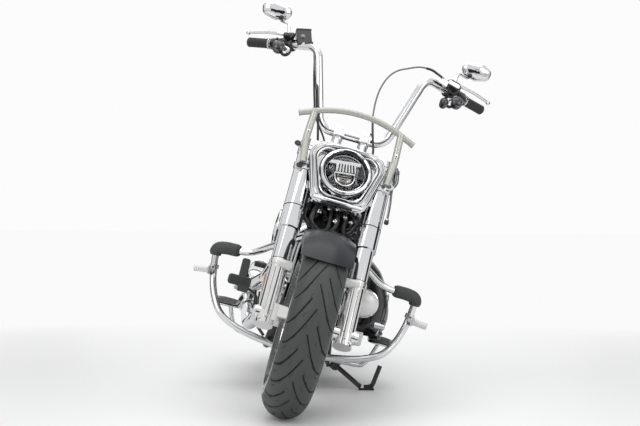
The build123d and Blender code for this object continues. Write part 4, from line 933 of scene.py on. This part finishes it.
closed_tube("tank_seam", [(0, y, z) for y, z in ((480, 906), (530, 935), (640, 952), (760, 940), (880, 902),
    (980, 856), (1024, 822), (1010, 815), (900, 880), (760, 925), (640, 935), (530, 915))], 2.0, GLOSS_BLACK,
    C)


def seat_skin(name, rows, node, crown):
    """A padded cushion lofted through rounded sections; rows are (y, middle z, width, height, corner)."""
    verts = []
    steps = 9                                   # points round each corner, less one
    n = 4 * (steps + 1)
    for y, z, w, h, c in rows:
        for x, up in rounded(w, h, c, steps):
            lift = crown * max(0.0, up / (h / 2)) * (1 - (2 * x / w) ** 2)
            verts.append((x, y, z + up + lift))
    faces = skin(len(rows), n) + [end[::-1] for end in ends(len(rows), n)]
    return piece(name, verts, faces, LEATHER, C, sub=1, hides=(node,))


def between(rows, steps):
    """More sections between the given ones, on a smooth run."""
    out = []
    p = [rows[0]] + list(rows) + [rows[-1]]
    for i in range(1, len(p) - 2):
        out += [tuple(spline(*q, k / steps) for q in zip(*p[i - 1:i + 3])) for k in range(steps)]
    return out + [rows[-1]]


def settle(o):
    """The object's modifiers go into its mesh."""
    made = bpy.data.meshes.new_from_object(o.evaluated_get(bpy.context.evaluated_depsgraph_get()))
    o.modifiers.clear()
    o.data = made


def swell(o, cap):
    """A cushion swells on its stuffing, by cap metres at most, and is smoothed."""
    settle(o)
    remesh = o.modifiers.new("remesh", "REMESH")
    remesh.mode = "VOXEL"
    remesh.voxel_size = 0.006
    settle(o)
    start = [v.co.copy() for v in o.data.vertices]
    cloth = o.modifiers.new("cloth", "CLOTH")
    cloth.settings.use_pressure = True
    cloth.settings.uniform_pressure_force = 4
    cloth.settings.effector_weights.gravity = 0
    cloth.point_cache.frame_start, cloth.point_cache.frame_end = 1, 20
    for f in range(1, 21):
        bpy.context.scene.frame_set(f)
    blown = o.evaluated_get(bpy.context.evaluated_depsgraph_get()).data
    end = [v.co.copy() for v in blown.vertices]
    o.modifiers.clear()
    for v, first, last in zip(o.data.vertices, start, end):
        move = last - first
        if move.length > cap:
            move *= cap / move.length
        v.co = first + move
    bpy.context.scene.frame_set(1)
    sub = o.modifiers.new("sub", "SUBSURF")
    sub.levels = sub.render_levels = 1
    settle(o)
    o.data.shade_smooth()


def seam(name, o, rows, share):
    """A piped seam laid on each shoulder of the cushion."""
    tree = BVHTree.FromObject(o, bpy.context.evaluated_depsgraph_get())
    back = PLACE[C].inverted()
    for side in (-1, 1):
        points = []
        for y, z, w, h in rows:
            hit = tree.find_nearest(PLACE[C] @ Vector((side * w / 2 * share, y, z + h / 2)))[0]
            points.append(tuple(back @ hit))
        tube(f"{name}_{side}", points, 2.4, LEATHER, C, seg=8)


RIDER = between(((1032, 781, 122, 50, 24), (1100, 716, 248, 57, 28), (1200, 660, 338, 50, 25),
    (1320, 690, 318, 70, 34), (1388, 742, 230, 90, 43)), 6)
PILLION = between(((1394, 764, 190, 50, 24), (1500, 764, 208, 50, 25), (1638, 764, 160, 33, 15)), 6)
for word, rows, node, crown, share in (("rider", RIDER, "rider_seat", 6, 0.80),
        ("pillion", PILLION, "pillion_seat", 5, 0.78)):
    cushion = seat_skin(f"{word}_seat_cushion", rows, node, crown)
    swell(cushion, 0.005)
    seam(f"{word}_seam", cushion, [row[:4] for row in rows[1:-1:2]], share)
closed_tube("tail_lamp_ring", [(x, 2058, 423 + z) for x, z in (polar(37, 2 * math.pi * k / 40)
    for k in range(40))], 3, CHROME, C)
lathe("tail_lamp_lens", [(0, 35), (6, 34), (11, 26), (13.5, 12), (14, 0.5)],
    facing((0, 2052, 423.5), (0, 2100, 426)), RED, C, seg=48)
for side, word in ((-1, "right"), (1, "left")):
    m = facing((side * 190, 1930, 470), (side * 190, 1990, 470))
    lathe(f"rear_signal_body_{word}", [(-4, 5), (0, 14), (10, 22), (34, 24.5), (46, 25), (47, 22)], m, BLACK,
        C, seg=36, hides=once(side, "rear_signals"))
    lathe(f"rear_signal_lens_{word}", [(46, 23), (52, 21), (56, 12), (57, 0.5)], m, SMOKE, C, seg=36)
    tube(f"rear_signal_stalk_{word}", [(side * 142, 1950, 470), (side * 166, 1950, 472),
        (side * 190, 1950, 470)], 8, CHROME, C, seg=14)
    slab(f"strut_cover_{word}", rounded(330, 34, 16, 8), 6, tr(side * 168, 1510,
        590) @ rz(90 * side) @ rx(90), CHROME, C, bevel=2)
    studs(f"strut_bolts_{word}", [(side * 170, y, 590) for y in (1400, 1620)], None, 7, 6, CHROME, C)
slab("plate_frame", rounded(188, 118, 8), 3, tr(0, 2055.2, 315) @ rx(90), CHROME, C, bevel=1)
slab("plate_blank", rounded(176, 106, 5), 2, tr(0, 2057.4, 315) @ rx(90), PLATE, C, bevel=0.6,
    hides=("number_plate",))
slab("plate_bracket", rounded(38, 40, 6), 44, tr(0, 2052, 320) @ rx(90), BLACK, C, bevel=2)
studs("swingarm_caps", [(-189, 1665, 325), (189, 1665, 325)], None, 18, 12, CHROME, C)
studs("pivot_caps", [(-157, 1215, 330), (157, 1215, 330)], None, 14, 8, CHROME, C)

# ---- stage --------------------------------------------------------------------------------------
def plane(name, size, matrix, mat):
    me = bpy.data.meshes.new(name)
    s = size / 2
    me.from_pydata([(-s, -s, 0), (s, -s, 0), (s, s, 0), (-s, s, 0)], [], [(0, 1, 2, 3)])
    me.materials.append(mat)
    o = link(bpy.data.objects.new(name, me))
    o.matrix_world = matrix
    return o


def blended(tree, share, first, second, into):
    """A mix of two shaders, led into a socket."""
    mix = shader_node(tree, "MixShader")
    tree.links.new(share, mix.inputs["Fac"])
    tree.links.new(first, mix.inputs[1])
    tree.links.new(second.outputs[0], mix.inputs[2])
    if into:
        tree.links.new(mix.outputs["Shader"], into)
    return mix.outputs["Shader"]


FADE = 3.2                                      # metres out to where the floor is all white


def floor_material():
    """A pale floor that keeps the object's shadow, and fades to near white in the distance."""
    m = bpy.data.materials.new("floor")
    m.use_nodes = True
    nt = m.node_tree
    wire = nt.links.new
    b = nt.nodes["Principled BSDF"]
    b.inputs["Base Color"].default_value = (0.86, 0.86, 0.86, 1)
    b.inputs["Roughness"].default_value = 0.55
    scale = nt.nodes.new("ShaderNodeVectorMath")
    scale.operation = "SCALE"
    scale.inputs["Scale"].default_value = 1 / FADE
    wire(shader_node(nt, "TexCoord").outputs["Object"], scale.inputs[0])
    grad = shader_node(nt, "TexGradient")
    grad.gradient_type = "SPHERICAL"
    wire(scale.outputs["Vector"], grad.inputs["Vector"])
    far = shader_node(nt, "MapRange", From_Min=0.0, From_Max=0.75, To_Min=1.0, To_Max=0.0)
    wire(grad.outputs["Fac"], far.inputs["Value"])
    both = shader_node(nt, "Math")
    both.operation = "MULTIPLY"
    wire(shader_node(nt, "LightPath").outputs["Is Camera Ray"], both.inputs[0])
    wire(far.outputs["Result"], both.inputs[1])
    blended(nt, both.outputs["Value"], b.outputs["BSDF"], shader_node(nt, "Emission",
        Color=(0.955, 0.955, 0.955, 1)), nt.nodes["Material Output"].inputs["Surface"])
    return m


plane("floor", 60, tr(0, 0, 0), floor_material())
FLAG = material("flag", (0.02, 0.02, 0.02), 0.0, 0.9, scale=2, vary=0.05)
GREY = material("grey_flag", (0.20, 0.20, 0.20), 0.0, 0.9, scale=2, vary=0.05)
for name, place, turned, size, card in (("flag_right", (-3.0, -3.4, 1.2), 50, (1.3, 2.4), FLAG),
        ("flag_left", (3.0, -3.4, 1.2), -50, (1.3, 2.4), FLAG), ("flag_camera", (0.4, -7.5, 1.25), 3,
        (5.2, 2.5), FLAG), ("flag_far_right", (-3.2, 0.4, 1.3), 90, (1.6, 2.8), FLAG),
        ("flag_far_left", (3.2, 0.4, 1.3), -90, (1.6, 2.8), FLAG), ("flag_back_right", (-1.9, 2.6, 1.4), 30,
        (0.9, 3.2), FLAG), ("flag_back_left", (1.9, 2.6, 1.4), -30, (0.9, 3.2), FLAG),
        ("card_right", (-1.5, -4.9, 2.9), 20, (0.9, 0.5), GREY), ("card_left", (1.7, -4.9, 2.9), -20,
        (0.9, 0.5), GREY)):
    o = plane(name, 1.0, tr(*place) @ rz(turned) @ rx(90) @ Matrix.Diagonal((size[0], size[1], 1, 1)), card)
    o.visible_camera = False


def light(name, place, target, size, power):
    d = bpy.data.lights.new(name, "AREA")
    d.shape = "RECTANGLE"
    d.size = d.size_y = size
    d.energy = power
    o = link(bpy.data.objects.new(name, d))
    look = (Vector(target) - Vector(place)).to_track_quat("-Z", "Y")
    o.matrix_world = tr(place) @ look.to_matrix().to_4x4()


light("key", (-2.6, -4.2, 3.4), (0, 0, 0.6), 2.4, 56)
light("fill", (3.4, -3.6, 2.4), (0, 0, 0.6), 2.2, 38)
light("top", (0, -0.5, 4.6), (0, 0, 0), 4.0, 66)
light("back", (0, 4.5, 3.0), (0, 0, 0.6), 3.0, 44)

# the studio lights the object, its reflections see a paler one, and the camera sees near white
world = bpy.data.worlds.new("world")
bpy.context.scene.world = world
world.use_nodes = True
wt = world.node_tree
studio = wt.nodes["Background"]
studio.inputs["Color"].default_value = (0.80, 0.805, 0.81, 1)
studio.inputs["Strength"].default_value = 0.86
path = shader_node(wt, "LightPath")
either = shader_node(wt, "Math")
either.operation = "ADD"
either.use_clamp = True
wt.links.new(path.outputs["Is Camera Ray"], either.inputs[0])
wt.links.new(path.outputs["Is Transmission Ray"], either.inputs[1])
mirrored = shader_node(wt, "Background", Color=(0.86, 0.865, 0.87, 1), Strength=1.0)
unseen = blended(wt, path.outputs["Is Glossy Ray"], studio.outputs["Background"], mirrored, None)
white = shader_node(wt, "Background", Color=(0.972, 0.972, 0.972, 1), Strength=1.0)
blended(wt, either.outputs["Value"], unseen, white, wt.nodes["World Output"].inputs["Surface"])
bpy.context.scene.view_settings.view_transform = "Standard"
